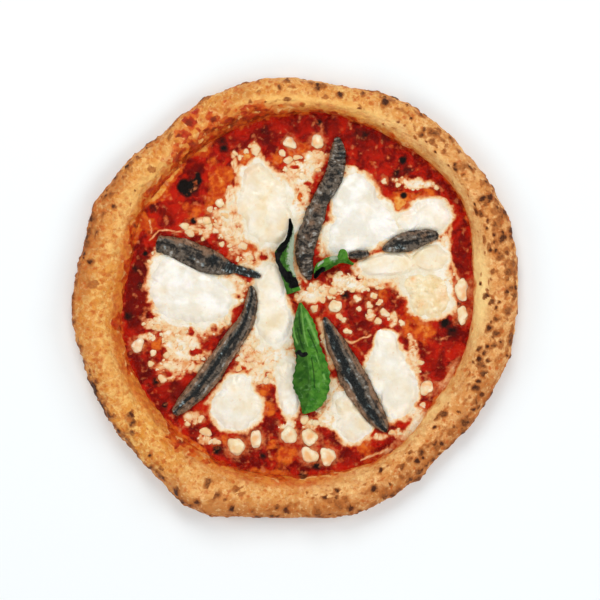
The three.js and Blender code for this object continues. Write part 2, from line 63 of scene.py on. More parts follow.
RIM_RADIUS = 148.5
INNER_RADIUS = 119
RIM_HEIGHT = 20.5
BASE_THICKNESS = 4
MIDDLE = (-0.6, 0.3)
CREST_INSET = 13.5
EQUATOR = 0.42
FOOT_INSET = 8
LOWER_SHARE = 0.2
UPPER_SHARE = 0.48
RIM_GIRTH = 62
GAP = 0.3
SAUCE_EDGE = 1.6
SAUCE_TOP = 5.7
CHEESE_THICKNESS = 2.6
FILLET_THICKNESS = 4.6
FILLET_EDGE = 0.3
FILLET_TIP = 1.2
GROOVE_SHARE = 0.15
GROOVE_SPREAD = 0.25
LEAF_THICKNESS = 0.7
LEAF_REST = 9.15
LEAF_RIPPLE = 0.35
LUMP_HEIGHT = 0.62
SLOPE = 0.65

# Marks are (angle, spread, by).
OUTER_MARKS = (
    (22, 14, 3.5), (50, 14, 1.5), (80, 9, -3), (112, 10, -2), (132, 13, -6.5), (165, 10, -2),
    (183, 8, 1), (244, 11, 8.5), (270, 7, -1.5), (287, 7, 1.5), (314, 14, -5.5), (335, 9, -2),
)
INNER_MARKS = (
    (30, 16, 9), (52, 16, 6), (78, 14, 7), (100, 12, 4), (135, 14, -3), (170, 16, -6),
    (245, 12, 2), (298, 12, 3), (325, 12, -3),
)
HEIGHT_MARKS = (
    (12, 20, 1.5), (42, 10, 2.5), (95, 16, 1.5), (132, 14, -3), (200, 16, 2), (244, 14, 3.5),
    (287, 9, 1.5), (314, 14, -2.5), (345, 10, 1),
)
SLOPE_MARKS = ((130, 24, 0.45), (185, 28, 0.35), (225, 16, 0.25))
BLISTERS = {"count": 64, "seed": 7, "share": (0.2, 0.85), "radius": (5, 11), "height": (0.5, 1.7)}

# Ellipses (x, y, half width, half depth, turn)
POOLS = (
    ((-22.5, 67, 18, 19, 0), (-17.5, 51, 17, 15.5, 0), (-26, 80, 10, 12, 0)),
    ((39, 66, 15, 19, -12), (48.5, 51, 17.5, 18, 0), (34.5, 41.5, 15, 13.5, 0), (60, 46, 10.5, 6.5, 0)),
    ((90, 56, 15.5, 12, 0), (77.5, 51, 9.5, 7.5, 0)),
    ((-80.5, 11.5, 18, 19, 0), (-61.5, -1, 20, 16, 0), (-72.5, 1.5, 23, 19, 0)),
    ((-40, -73.5, 17.5, 16, 0), (-39, -59, 10, 8.5, 0)),
    ((-17.5, 5.5, 11.5, 17.5, 0), (-14.5, -16, 13.5, 16, 0)),
    ((62, -49.5, 15.5, 18, 0), (70, -65.5, 12, 17.5, -20), (60.5, -31.5, 8.5, 10.5, 0)),
    ((38.5, -85, 12.5, 12.5, 0), (33.5, -71.5, 8.5, 9.5, 0)),
    ((90, 1.5, 15.5, 16, 0), (80.5, 9, 9.5, 8, 0)),
    ((64.5, 22.5, 23, 8.5, 4), (91.5, 27, 12, 9.5, 0)),
    ((-4, -61.5, 8.5, 19, 0), (-6, -49.5, 6.5, 9.5, 0)),
)
POOL_BLEND = 8
POOL_REACH = 60
POOL_SLIMMEST = 12

FILLETS = {
    "anchovy_top": (
        (28, 107.5, 4), (28.5, 99.5, 10), (27.5, 90.5, 12), (24.5, 79.5, 12.5), (17, 66, 11.5),
        (12, 52.5, 13.5), (7.5, 39, 14), (6, 27, 11.5), (7.5, 19, 9.5), (9, 13, 3.5),
    ),
    "anchovy_left": (
        (-93, 36.5, 10.5), (-87, 35.5, 12.5), (-76.5, 32.5, 15.5), (-64, 27, 17), (-53.5, 23, 15),
        (-45.5, 20.5, 9.5), (-40, 19.5, 6), (-32, 17, 6), (-24.5, 15, 3.5),
    ),
    "anchovy_lower_left": (
        (-30, 7.5, 3.5), (-29.5, 0, 8), (-32.5, -13.5, 10.5), (-41, -26.5, 13.5), (-49.5, -39.5, 14),
        (-58, -52, 15), (-67.5, -63, 13.5), (-76.5, -72.5, 10), (-81.5, -77, 5.5),
    ),
    "anchovy_lower_right": (
        (19.5, -13.5, 3.5), (23, -21.5, 8.5), (27.5, -32, 13.5), (33.5, -43, 16), (38.5, -53.5, 19),
        (44.5, -64.5, 17), (51, -75, 15), (57, -83.5, 10.5), (60.5, -89, 4.5),
    ),
    "anchovy_right": (
        (59, 33, 3.5), (65.5, 35, 9.5), (72.5, 37.5, 13.5), (80.5, 39.5, 12), (88.5, 41.5, 9.5),
        (95, 42.5, 5.5),
    ),
    "anchovy_right_tail": ((36.5, 28.5, 4.5), (42.5, 29, 6.5), (48.5, 30, 4.5)),
}
GROOVED = ("anchovy_lower_left", "anchovy_lower_right", "anchovy_right")

# name: (cup, arch, midrib points with the width to the left and right)
LEAVES = {
    "basil_large": (
        1.8, 1.2,
        ((3, -3, 0.8, 0.8), (4, -13.5, 6.5, 5), (5.5, -22.5, 8.5, 8), (7, -33.5, 9.5, 7.5),
         (8.5, -43, 12, 8.5), (9.5, -53.5, 13.5, 11.5), (9.5, -63, 12, 10.5), (7.5, -71, 8.5, 5),
         (5, -77.5, 0.8, 0.8)),
    ),
    "basil_dark": (
        2.2, 0.8,
        ((-4, 53.5, 0.6, 0.6), (-3.2, 46, 2, 2), (-4, 38.5, 3, 3.2), (-6.5, 29.5, 5, 7.4),
         (-6.2, 21, 4.6, 5.4), (-4.2, 12, 5, 4.2), (-1.5, 3.8, 5, 4.6)),
    ),
    "basil_curled": (
        1.6, 1.5,
        ((12.8, 13.2, 0.8, 0.8), (16, 19, 3.8, 2.6), (20, 22, 4.2, 3.4), (25, 24.2, 4.2, 2.8),
         (28.8, 25.4, 3.4, 2.2), (31.8, 26, 7.2, 2.4), (34.6, 25.2, 1.6, 2.2), (38.8, 22.6, 0.8, 0.8)),
    ),
}

LUMPS = (
    (9.5, -93.5, 5.5, 5.5), (9, -105.2, 5.5, 5.3), (21.3, -106, 4.5, 6.5), (-40, -100, 6, 5.5),
    (-26.5, -95, 4, 5.5), (-4.5, -92, 5.5, 5.5), (88, -60.5, 4.5, 4.5), (112, -11.5, 3.8, 6),
    (111.5, 5.5, 4.2, 7.5), (-106.5, -32, 4, 4.5), (-4, 104, 4, 4), (14.5, 105.5, 3.5, 5.5),
    (26.5, -5.5, 4, 4.5), (-45.8, -14, 2.6, 3),
)
CRUMB_AREAS = (
    (-77, -31, 26, 15), (-88, -46, 9, 9), (-30, -38, 16, 12), (3, 89, 15, 14), (-50, 56, 8, 14),
    (-66, 49, 12, 6), (-38, 39, 13, 8), (17, -1, 9, 11), (40, 9, 21, 7), (47, -2, 13, 7),
    (66, -14, 12, 9), (10, -83, 15, 8), (-54, -95, 8, 7), (-60, -84, 6, 6), (50, 82, 14, 5),
    (30, -20, 8, 9), (-31, 94, 10, 9),
)
CRUMBS = {"count": 60, "seed": 11, "sizes": (3.2, 1.8), "height": 0.6, "sunk": 0.5, "tries": 3000}

# ---------------- places of colour and melt
# Cheese that has melted into the sauce, where the sauce shows through it, and where the melted
# cheese is white: ellipses as for the pools.

MELT = (
    (-41.5, 92, 2.2, 6.5, 10), (-37, 86, 4.5, 4, 0), (-27, 101, 4.5, 3.5, -40), (-24.5, 93, 3.5, 6, 0),
    (-48, 52, 8, 9, 0), (-42, 42, 9, 6, 0), (-26, 33, 18, 9, 0), (-22, 23, 14, 6, 0),
    (-70, 46.5, 7, 3.2, -15), (-61.5, 48, 5, 7.5, 0), (-11, 42, 8, 10, 0), (-44, 66, 3, 12, 0),
    (12, 93, 9, 6, 0), (3, 84, 12, 9, 0), (-1, 70, 10, 14, 0), (1, 54, 8, 12, 0), (36, 87, 5, 2.5, 0),
    (80, 77, 13, 4, -5), (69, 50, 8, 9, 0), (62, 58, 5, 8, 0), (98, 34, 6, 14, 0), (60, 20, 15, 8, 0),
    (72, 12, 8, 10, 0), (40, 9.5, 13, 5, 0), (54, 12, 9, 6, 0), (16, 5, 7, 6, 0), (20, 42, 6.5, 10, 0),
    (24, 33, 8, 6, 0), (100, 5, 5, 9, 0), (7, 2, 9, 6, 0), (-93, 22, 6, 10, 0), (-56, 5, 8, 9, 0),
    (-42, 11, 10, 5, -20), (-40, 3, 6, 6, 0), (-83, -17, 18, 9, 0), (-97, -18, 6, 3, 0),
    (-101, -26, 5, 2.5, 0), (-62, -17, 13, 9, 0), (-73, -36, 17, 11, -50), (-83, -46, 9, 9, 0),
    (-47, -15, 3.5, 5, 0), (-22, -34, 17, 14, 0), (-34, -43, 7, 6, 0), (-25, -52, 6, 6, 0),
    (-8, -40, 8, 14, 0), (-70, -81, 6, 4, 15), (-61.5, -94, 4, 4.5, 30), (10, -86, 5, 3, 0),
    (-6, -86, 6, 3.5, 0), (22, -80, 9, 8, 0), (26, -66, 8, 13, 0), (22, -30, 3.5, 16, 12),
    (63, -25, 7, 3, 0), (65, -14.5, 3, 5, 0), (50.5, -12, 3, 3.5, 0), (80, -37, 3.2, 12, 12),
    (83, -78, 9, 5, 30), (76, -92, 4, 7, -35), (57, -93, 6, 2.5, 0), (68, -90.5, 3, 2.5, 0),
    (29, -12, 2, 2, 0), (90, 16, 17, 5, 0), (104, -6, 4, 8, 20), (-13, -42, 10, 16, 0),
    (-33, -34, 8, 9, 0), (1, 24, 4, 14, 0), (30, 12, 9, 5, 0), (24, 4, 8, 4, 0),
)
BARE = (
    (-33, 95, 4.5, 4.5, 0), (-31, 34, 5, 3, 0), (-22, 27, 3.5, 2, 0), (-51, 37, 6, 3, -20),
    (-68.5, 52, 3, 2.5, 0), (3, 68, 1.6, 2.6, 0), (8, 77, 3, 1.4, 0), (-1, 88, 3.4, 1.3, 0),
    (-44, -7, 3.8, 3.5, 0), (-41, 1, 3.5, 2, 0), (-70, -22, 1.8, 4, 10), (-67.5, -36, 4, 2.5, 0),
    (-55, -20, 2.5, 3, 0), (-86, -51, 5, 2.2, 0), (-96, -11.5, 5.5, 2.2, 0), (-98, -22, 5, 1.3, 0),
    (-94, -32, 5, 4.5, 0), (-46.5, -50, 2.5, 5, -20), (-37, -47, 3.5, 1.3, 0), (-20, -62, 3.5, 5, 0),
    (20, 37, 2, 2.5, 0), (27, 38, 2, 2.5, 0), (55, 3.5, 6.5, 2.8, -25), (23, 11, 2, 3, 10),
    (33, 2, 3, 2, 0), (13, -82, 2.2, 2, 0), (8, 6, 2.4, 1.2, 0), (42, 13, 2, 1.2, 0),
    (67, 3, 2.5, 4, 30), (-8, -82, 2, 2.5, 0),
)
WHEY = (
    (-9, -14, 11, 22, 0), (-20, -29, 13, 9, 0), (-10, -42, 13, 9, 0), (-25, -51, 9, 6, 0),
    (-32, 12, 9, 4, -20), (11, 2, 7, 6, 0), (22, -62, 6, 15, 10), (18, -28, 4, 14, 20),
    (2, 55, 5, 14, 0), (-8, 38, 7, 10, 0), (-45, 57, 6, 9, 0), (22, 50, 5, 10, 0), (37, 82, 9, 6, 0),
    (-72, -13, 20, 6, 0), (-79, -30, 14, 10, -20), (62, 58, 6, 7, 0), (98, 30, 6, 13, 0),
    (64, 12, 10, 5, 0), (84, 76, 13, 3, -5), (5, 93, 8, 4, 0), (-33, 44, 12, 5, 0), (82, 16, 12, 4, 0),
    (-14, -40, 10, 14, 0), (8, 84, 7, 10, 0), (34, 10, 14, 5, 0), (-4, -84, 8, 4, 0),
    (22, -82, 6, 6, 0),
)
# Oil that colours the sauce orange, sauce that is a deep red, and what is burnt black:
# (x, y, radius, strength)
OIL = (
    (-62, 100, 8, 0.9), (-57, 91, 6, 0.8), (-52, 80, 9, 1.1), (-52, 69, 9, 0.9), (-88, 88, 11, 1.4),
    (-94, 72, 10, 1.3), (-98, 50, 7, 1), (-76, 62, 6, 0.6), (-69, 58, 7, 0.7), (-60, 62, 6, 0.7),
    (-45, 85, 5, 0.9), (-33, 95, 6, 1.3), (-13, 95, 7, 0.9), (3, 101, 9, 0.9), (1, 97, 8, 0.8),
    (70, 64, 7.5, 1.5), (66, 101, 8, 0.5), (79, 66, 5, 0.9), (88, 70, 7, 0.7), (101, 50, 5, 1),
    (96, 18, 6, 0.5), (80, -9, 9, 1), (88, -22, 9, 1.3), (75, -22, 7, 0.7), (47, -3, 8, 0.6),
    (56, -32, 5, 0.8), (60, 2, 5, 0.7), (-94, -32, 6, 1), (-64, -76, 6, 0.5), (-60, -84, 6, 0.4),
    (-20, -75, 6, 0.9), (-47, -97, 5, 1), (-6, -107, 8, 1.1), (-15, -98, 5, 0.8), (45, -101, 9, 0.9),
    (-25, -115, 9, 0.3), (-68, -103, 7, 0.7), (78, -38, 4, 1), (-21, -62, 5, 0.8), (5, 68, 5, 0.9),
    (-31, 34, 6, 0.9), (27, 38, 4, 0.6), (-52, 50, 5, 0.7), (-105, -38, 5, 0.7),
)
DEEP = (
    (-68, 87, 9, 1.2), (-66, 95, 6, 0.8), (-82, 73, 6, 0.4), (-73, 76, 9, 1.1), (-88, 57, 10, 0.8),
    (-97, 60, 6, 0.9), (-51, 104, 8, 1.1), (-42, 107, 8, 0.8), (50, 104, 18, 0.7), (20, 116, 12, 0.8),
    (-106, 12, 16, 2), (-108, -10, 12, 1.5), (-70, -86, 8, 0.6), (-104, -45, 14, 1),
    (103, -22, 14, 0.7), (95, -45, 12, 0.6), (112, 22, 9, 0.8), (45, -20, 9, 0.9), (40, -8, 8, 0.8),
    (-80, -62, 9, 1), (35, -106, 10, 0.8), (-35, -107, 9, 0.9), (5, -116, 8, 1.2), (-18, -88, 6, 1),
    (65, -97, 9, 0.8), (-20, 108, 12, 0.9), (0, 112, 9, 0.9), (30, -96, 8, 0.9), (-50, -104, 7, 0.8),
    (48, -24, 9, 0.8), (40, -14, 7, 0.7),
)
BURNT = (
    (-75, 75, 4.6, 1.9), (-70, 75, 4.4, 1.9), (-66, 79, 3.2, 1.6), (-66, 83, 2.2, 1.2),
    (-73, 71.5, 3.6, 1.7), (-48, 101, 4, 0.9), (-68.5, 52, 2.6, 1.2), (45, 110, 7, 0.75),
    (60, 107, 5, 0.7), (16, 118, 2.8, 1), (72, 92.5, 3, 1.3), (68, 84, 4, 0.9), (75, 86.5, 4.5, 0.8),
    (72.5, 69, 2.4, 1.4), (72.5, 59, 1.8, 1.3), (33, 2, 4.5, 0.95), (100, -16, 5, 1.1),
    (105, -22, 5, 0.9), (109, -15, 3, 1), (-93, -56, 4.5, 0.95), (-88, -72, 2.6, 1.1),
    (-53, -102, 4, 1), (-22, -106, 4, 0.8), (14, -112, 5, 1), (5, -119, 4, 0.9), (78, -40, 2.2, 0.9),
    (51, -35, 2.2, 0.8), (-101, 30, 2.2, 1.1), (-113, -12, 4, 0.9), (-104, 8, 4, 0.8),
    (10, -90, 1.6, 1.2), (21, 34, 2.6, 0.7), (109, -4, 2.6, 1), (-96, 60, 5, 0.7), (-50, 106, 5, 0.8),
    (-108, 20, 4, 0.8), (-20, 112, 5, 0.6),
)
# Thin streaks of melted cheese: (width, points)
STREAKS = (
    (0.7, ((-98, 39), (-90, 45.5), (-78, 44.5))), (1.6, ((-45, 19), (-41, 14.5), (-34, 10))),
    (0.9, ((33, -28), (37.5, -30), (43, -27.5), (50, -25))),
    (0.9, ((44, -108.5), (57, -104), (72, -98))),
    (1.4, ((105, 62), (104, 48), (103, 32), (107, 18), (111, 9))),
    (1.6, ((0, 44), (-1.5, 32), (1, 20), (7, 11))), (2.2, ((15, -14), (19, -26), (24, -42))),
    (0.8, ((-98, 52), (-97, 44))),
)
# How far sauce has crept up the rim past its inner edge, in millimetres
STAIN_REACH = 0.3
STAIN_MARKS = (
    (62, 10, 0.8), (80, 12, 1.5), (104, 10, 7.5), (123, 12, 9), (142, 9, 6), (156, 6, 3), (170, 10, 5),
    (188, 3, 6), (201, 6, 2.5), (230, 5, 4.5), (244, 8, 3), (268, 14, 3.5),
)
# How much orange oil has soaked into the slope above the sauce: share round the angle
SOAK_MARKS = (
    (22, 10, 0.2), (62, 14, 0.2), (95, 20, 0.5), (128, 14, 0.8), (168, 20, 1), (205, 20, 0.8),
    (238, 14, 0.5), (268, 18, 0.8),
)
# Splashes of sauce on the rim: (x, y, radius, strength)
SPLASHES = (
    (-15.5, 125, 5, 0.8), (-27, 126, 6, 0.8), (-33, 121, 6, 0.9), (-44, 119, 8, 0.9),
    (-54, 119, 7, 0.9), (-67, 124, 5, 1), (-70.5, 117, 5, 1), (-75, 108, 6, 1), (-77, 98, 7, 0.9),
    (-63, 110, 6, 0.8), (29, 121.5, 5, 0.8), (23, 118.5, 5, 0.8), (-85, 92, 5, 0.7), (-46, 128, 4, 0.6),
    (-120, -18, 5, 0.9), (-115, -23, 4, 0.8), (-78, -97, 6, 0.9), (-84, -93, 5, 0.8),
    (-70, -104, 5, 0.8), (-119, 34, 4, 0.5),
)
# Golden, oily dough instead of dry tan: share round the angle
GOLD_MARKS = (
    (75, 26, 0.7), (112, 20, 0.7), (140, 20, 0.5), (182, 30, 0.9), (225, 18, 0.9), (262, 12, 0.4),
)
# Clusters of burnt spots on the rim: (angle, spread, share of the way from foot to inner edge,
# spread, amount)
SPOT_CLUSTERS = (
    (50, 5, 0.43, 0.07, 0.9), (64, 7, 0.36, 0.06, 0.4), (30, 12, 0.34, 0.12, 0.45),
    (12, 14, 0.42, 0.14, 0.5), (8, 10, 0.66, 0.1, 0.4), (350, 12, 0.46, 0.12, 0.4),
    (343, 3, 0.6, 0.05, 0.5), (332, 6, 0.45, 0.1, 0.5), (326, 4, 0.36, 0.06, 0.7),
    (315, 4, 0.42, 0.06, 0.8), (309, 5, 0.38, 0.07, 0.6), (300, 8, 0.42, 0.12, 0.4),
    (284, 8, 0.42, 0.1, 0.35), (160, 12, 0.33, 0.08, 0.6), (146, 10, 0.34, 0.08, 0.5),
    (217, 2.5, 0.45, 0.05, 0.7), (241, 5, 0.32, 0.06, 0.7), (266, 9, 0.38, 0.1, 0.4),
    (206, 8, 0.27, 0.05, 0.4), (88, 14, 0.34, 0.1, 0.3), (122, 6, 0.27, 0.05, 0.4),
    (134, 4, 0.24, 0.04, 0.6), (330, 60, 0.4, 0.2, 0.12), (22, 14, 0.4, 0.14, 0.4),
    (195, 50, 0.55, 0.4, -0.3),
)
# How burnt the outermost edge is: share round the angle
EDGE_MARKS = (
    (20, 40, 0.1), (320, 45, 0.35), (275, 25, 0.45), (225, 22, 0.9), (205, 14, 1), (175, 20, 0.95),
    (130, 16, 0.6), (62, 12, 0.3),
)
# How much more toasted the outside is, and share of the pale dough on the slope down to the
# sauce, round the angle
TOAST_MARKS = (
    (268, 24, 0.3), (166, 20, 0.4), (338, 18, 0.45), (130, 24, -0.4), (210, 20, -0.9), (82, 22, -0.7),
    (0, 26, -0.9), (50, 22, -0.5),
)
PALE_MARKS = ((2, 18, 1), (318, 14, 0.4), (285, 12, 0.2), (40, 12, 0.2))
# Golden highlights just inside the crest: share round the angle
GLOW_MARKS = ((82, 24, 0.8), (132, 26, 0.5), (210, 18, 0.3), (40, 12, 0.2), (285, 16, 0.15))
# Pale dough and cheese that reach in over the sauce's edge: share round the angle
SHORE_MARKS = ((333, 8, 0.6), (313, 6, 1.3), (301, 4, 0.5), (3, 6, 0.4))
# How creamy each pool is, from white to cream
POOL_TONES = (0.5, 0, 0.2, 0.1, 0.3, 0.4, 0.25, 0.4, 1, 0.55, 0.3)
# Basil that is scorched black, and basil under a pale film of whey: (width, points)
SCORCHED = (
    (2.6, ((-4, 52), (-4, 47), (-5.5, 41), (-8, 35.5), (-11, 31), (-12.5, 27), (-11, 22), (-8, 17.5))),
    (3.4, ((-6, 15.5), (-3, 12), (1, 11), (-2, 9))), (1.9, ((2.4, -36.2), (4.4, -38.4), (6.4, -37.4))),
    (1.2, ((0.2, -40), (0.4, -37))), (2.2, ((12.5, 13), (15, 17), (18, 19))),
)
FILMED = (
    (3.4, ((0, 46), (-1.4, 40), (-3.2, 34), (-3.6, 28), (-2.8, 22), (0.5, 16))),
    (2.2, ((24, 27), (26.5, 27))),
    (1, ((15, 22), (18, 24.5))),
)
# Raised ribs and sunken creases along the leaves: the ribs are painted lighter, partly their own
# colour and partly highlight, and the creases darker as painted shade: (width, points)
RIBS = (
    (0.7, ((3.6, -5), (4.6, -15), (6, -25), (8, -32))), (1.3, ((7, -11), (11, -21), (15, -30))),
    (1.1, ((14, -38), (17.5, -48), (19.5, -54))), (0.8, ((-2, -16), (-1, -24), (1, -30))),
)
CREASES = (
    (0.7, ((8, -21), (11.5, -29), (15, -38), (18, -50))), (0.7, ((2.2, -9), (2.6, -16), (4, -24))),
    (0.6, ((10.5, -40), (12, -50), (12.5, -60))), (0.6, ((1, -20), (3, -28), (5, -34))),
)
# Skin of the fillets: how brown the left and right flanks are, walking along the back, how black
# the dark middle is, how far it lies to the left and how wide it is, and how wrinkled the skin
FILLET_SKINS = {
    "anchovy_top": (0.2, 0.4, 0.15, 0, 0.4, 1),
    "anchovy_left": (0.9, 0.2, 0.1, 0, 0.4, 0.5),
    "anchovy_lower_left": (0.6, 1, 0.85, -0.1, 0.26, 0.3),
    "anchovy_lower_right": (1, 0.7, 0.95, -0.18, 0.42, 0.3),
    "anchovy_right": (0.4, 0.3, 0.5, -0.1, 0.4, 0.4),
    "anchovy_right_tail": (0.4, 0.8, 0.6, 0, 0.5, 0.5),
}
# Patches on the fillets: (x, y, radius, strength)
BROWN_PATCHES = (
    (14, 60, 6, 0.5), (11, 50, 6, 0.5), (8.5, 42, 6, 0.4), (6.5, 33, 6, 0.35), (7, 24, 6, 0.4),
    (26, 84, 4, 0.4), (-62, -57, 6, 0.4), (-77, -73, 6, 0.7), (-80, 38, 3, 0.6), (-60, 30, 4, 0.6),
    (-71, -69, 5, 0.7), (54, -80, 5, 0.5), (86, 42, 4, 0.5),
)
BLACK_PATCHES = (
    (31.5, 96, 4, 0.7), (29, 84, 3, 0.6), (23, 70, 3, 0.5), (-55, 25, 5, 0.8), (-44, 21, 5, 1.1),
    (-37, 18, 5, 1.2), (-29, 16, 5, 1.2), (-70, 27, 3.5, 0.7), (-62, 22, 3, 0.6), (-88, 34, 6, 0.45),
    (-31, -5, 4, 0.7), (22, -20, 4, 0.8), (70, 35, 5, 0.7), (4, 28, 3, 0.7), (9, 17, 3, 0.6),
)

# ---------------- numbers and curves

MM = 0.001
LINE_STEPS = 60


def smooth(x, low, high):
    """0 below low, 1 above high, and an even curve between."""
    t = np.clip((np.asarray(x, float) - low) / (high - low), 0, 1)
    return t * t * (3 - 2 * t)


def band(x, start, full, fading, end):
    """1 from full to fading, 0 before start and after end."""
    return smooth(x, start, full) * smooth(x, end, fading)


def bell(x, spread):
    """1 at 0, fading away on both sides."""
    return np.exp(-((x / spread) ** 2))


def turn_from(at, degrees):
    """The turn from one angle to others, -180 to 180."""
    return (degrees - at + 180) % 360 - 180


def marked(degrees, marks):
    """What marks of (angle, spread, by) add up to at some angles."""
    return sum(by * bell(turn_from(at, degrees), spread) for at, spread, by in marks)


def outer_radius(degrees):
    return RIM_RADIUS + marked(degrees, OUTER_MARKS)


def inner_radius(degrees):
    return INNER_RADIUS + marked(degrees, INNER_MARKS)


def crest_height(degrees):
    return RIM_HEIGHT + marked(degrees, HEIGHT_MARKS)


def angle_of(x, y):
    return np.degrees(np.arctan2(y, x)) % 360


def polar(radius, degrees):
    return radius * np.cos(np.radians(degrees)), radius * np.sin(np.radians(degrees))


def draws(seed):
    """The even draws that the solids use."""
    state = seed
    while True:
        state = (state * 1664525 + 1013904223) & 0xFFFFFFFF
        yield state / 2**32


def curve_at(points, t):
    """Rows of numbers read as one smooth curve, at the shares t."""
    points = np.asarray(points, float)
    last = len(points) - 1
    place = np.clip(t, 0, 1) * last
    i = np.minimum(np.floor(place).astype(int), last - 1)
    f = (place - i)[:, None]
    a, b, c, d = (points[np.clip(i + k, 0, last)] for k in (-1, 0, 1, 2))
    return b + 0.5 * f * (c - a + f * (2 * a - 5 * b + 4 * c - d + f * (3 * (b - c) + d - a)))


def left_of(points, t):
    """The direction to the left of a curve, for one who walks along it."""
    step = 0.01
    ahead = curve_at(points, np.clip(t + step, 0, 1))
    behind = curve_at(points, np.clip(t - step, 0, 1))
    left = np.stack([behind[:, 1] - ahead[:, 1], ahead[:, 0] - behind[:, 0]], 1)
    return left / np.linalg.norm(left, axis=1, keepdims=True)


def length_of(spine):
    return np.hypot(*np.diff(spine[:, :2], axis=0).T).sum()


def sauce_top(x, y):
    """Height of the solid sauce's gentle waves."""
    return SAUCE_TOP + 0.25 * np.sin(x / 13 + 0.4) * np.cos(y / 17) + 0.15 * np.sin((x + y) / 21)


def pool_field(x, y, ellipses):
    """Above 0 inside the ellipses, 0 on their outline."""
    total = 0
    for cx, cy, half_width, half_depth, turn in ellipses:
        c, s = math.cos(math.radians(turn)), math.sin(math.radians(turn))
        across = ((x - cx) * c + (y - cy) * s) / half_width
        along = ((y - cy) * c - (x - cx) * s) / half_depth
        total = total + np.exp(POOL_BLEND * (1 - np.hypot(across, along)))
    return np.log(total) / POOL_BLEND


def spots_field(x, y, spots):
    """The strongest of some round soft spots of (x, y, radius, strength)."""
    strongest = np.zeros(np.shape(x))
    for cx, cy, radius, strength in spots:
        strongest = np.maximum(strongest, strength * bell(np.hypot(x - cx, y - cy), radius))
    return strongest


def lines_field(x, y, lines):
    """1 along soft lines of (width, points), 0 away from them."""
    strongest = np.zeros(np.shape(x))
    for width, points in lines:
        for px, py in curve_at(points, np.linspace(0, 1, LINE_STEPS)):
            strongest = np.maximum(strongest, bell(np.hypot(x - px, y - py), width))
    return strongest


# ---------------- uneven patterns
# The last number that noise, layered and grains are called with is a seed, another one for each
# pattern, and the number before it, or before the count of layers, is a size in millimetres.

GRADIENTS = np.random.default_rng(5).normal(size=(256, 3))
GRADIENTS /= np.linalg.norm(GRADIENTS, axis=1, keepdims=True)
NOISE_SCALE = 1.5
GRAIN_JITTER = 0.7
GRAIN_LARGEST = 0.75


def hashed(ix, iy, iz, seed):
    """Whole numbers under 2**32 that look random, one for each cell."""
    h = (ix * 374761393 + iy * 668265263 + iz * 974634777 + seed * 1274126177) & 0xFFFFFFFF
    h = ((h ^ (h >> 13)) * 1274126177) & 0xFFFFFFFF
    h = ((h ^ (h >> 15)) * 2246822519) & 0xFFFFFFFF
    return h ^ (h >> 16)


def fraction(h, shift):
    """Ten bits of a whole number, as a number from 0 to 1."""
    return ((h >> shift) & 1023) / 1023


def noise(x, y, z, size, seed):
    """Smooth unevenness of about -1 to 1, with bumps of the given size."""
    p = np.stack(np.broadcast_arrays(x, y, z), -1) / size
    cell = np.floor(p).astype(np.int64)
    f = p - cell
    w = f * f * f * (f * (f * 6 - 15) + 10)
    total = 0
    for corner in np.ndindex(2, 2, 2):
        c = np.array(corner)
        g = GRADIENTS[hashed(*np.moveaxis(cell + c, -1, 0), seed) & 255]
        weight = np.prod(np.where(c, w, 1 - w), axis=-1)
        total = total + weight * np.sum(g * (f - c), axis=-1)
    return total * NOISE_SCALE


def layered(x, y, z, size, layers, seed):
    """Noise with finer and fainter noise on it."""
    return sum(noise(x, y, z, size / 2**k, seed + k) / 2**k for k in range(layers))


def grains(u, v, size, seed, wrap=0, smallest=0.35):
    """Round grains, one to a cell: how deep each point is inside one (1 at its middle, below 0
    outside), and that grain's own number from 0 to 1."""
    cell_u, cell_v = np.floor(u / size).astype(np.int64), np.floor(v / size).astype(np.int64)
    deepest = np.full(u.shape, -np.inf)
    own = np.zeros(u.shape)
    for du, dv in np.ndindex(3, 3):
        iu, iv = cell_u + du - 1, cell_v + dv - 1
        h = hashed(iu % wrap if wrap else iu, iv, 0 * iu, seed)
        middle_u = iu + 0.5 + GRAIN_JITTER * (fraction(h, 0) - 0.5)
        middle_v = iv + 0.5 + GRAIN_JITTER * (fraction(h, 10) - 0.5)
        radius = size * (smallest + (GRAIN_LARGEST - smallest) * fraction(h, 20) ** 1.5)
        depth = 1 - np.hypot(u - middle_u * size, v - middle_v * size) / radius
        nearer = depth > deepest
        deepest = np.where(nearer, depth, deepest)
        own = np.where(nearer, fraction(h, 5), own)
    return deepest, own


# ---------------- meshes

def make_piece(name, points, faces, material, slot, replaces=(), **attributes):
    """A mesh piece from points in millimetres and lists of faces with 3 or 4 corners."""
    places = np.clip((points - np.array([*MIDDLE, 0])) * MM, *(np.array(corner) for corner in cad_box))
    corners = np.concatenate([f.ravel() for f in faces]).astype(np.int32)
    sizes = np.concatenate([np.full(len(f), f.shape[1]) for f in faces])
    mesh = bpy.data.meshes.new(name)
    mesh.vertices.add(len(places))
    mesh.vertices.foreach_set("co", places.astype(np.float32).ravel())
    mesh.loops.add(len(corners))
    mesh.loops.foreach_set("vertex_index", corners)
    mesh.polygons.add(len(sizes))
    mesh.polygons.foreach_set("loop_start", (np.cumsum(sizes) - sizes).astype(np.int32))
    for key, values in attributes.items():
        layer = mesh.attributes.new(key, "FLOAT", "POINT")
        layer.data.foreach_set("value", np.asarray(values, np.float32).ravel())
    mesh.update(calc_edges=True)
    mesh.shade_smooth()
    mesh.materials.append(material)
    piece = bpy.data.objects.new(name, mesh)
    bpy.context.scene.collection.objects.link(piece)
    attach(piece, "root")
    if replaces:
        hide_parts(*replaces)


def ring_faces(rings, around):
    """Faces of a surface through rings, closed by the point before them and the point after."""
    i = np.arange(around)
    j = (i + 1) % around
    first = np.stack([0 * i, 1 + j, 1 + i], 1)
    start = 1 + np.arange(rings - 1)[:, None] * around
    quads = np.stack([start + i, start + j, start + around + j, start + around + i], -1)
    last = 1 + (rings - 1) * around
    end = np.stack([last + i, last + j, 0 * i + last + around], 1)
    return [first, quads.reshape(-1, 4), end]


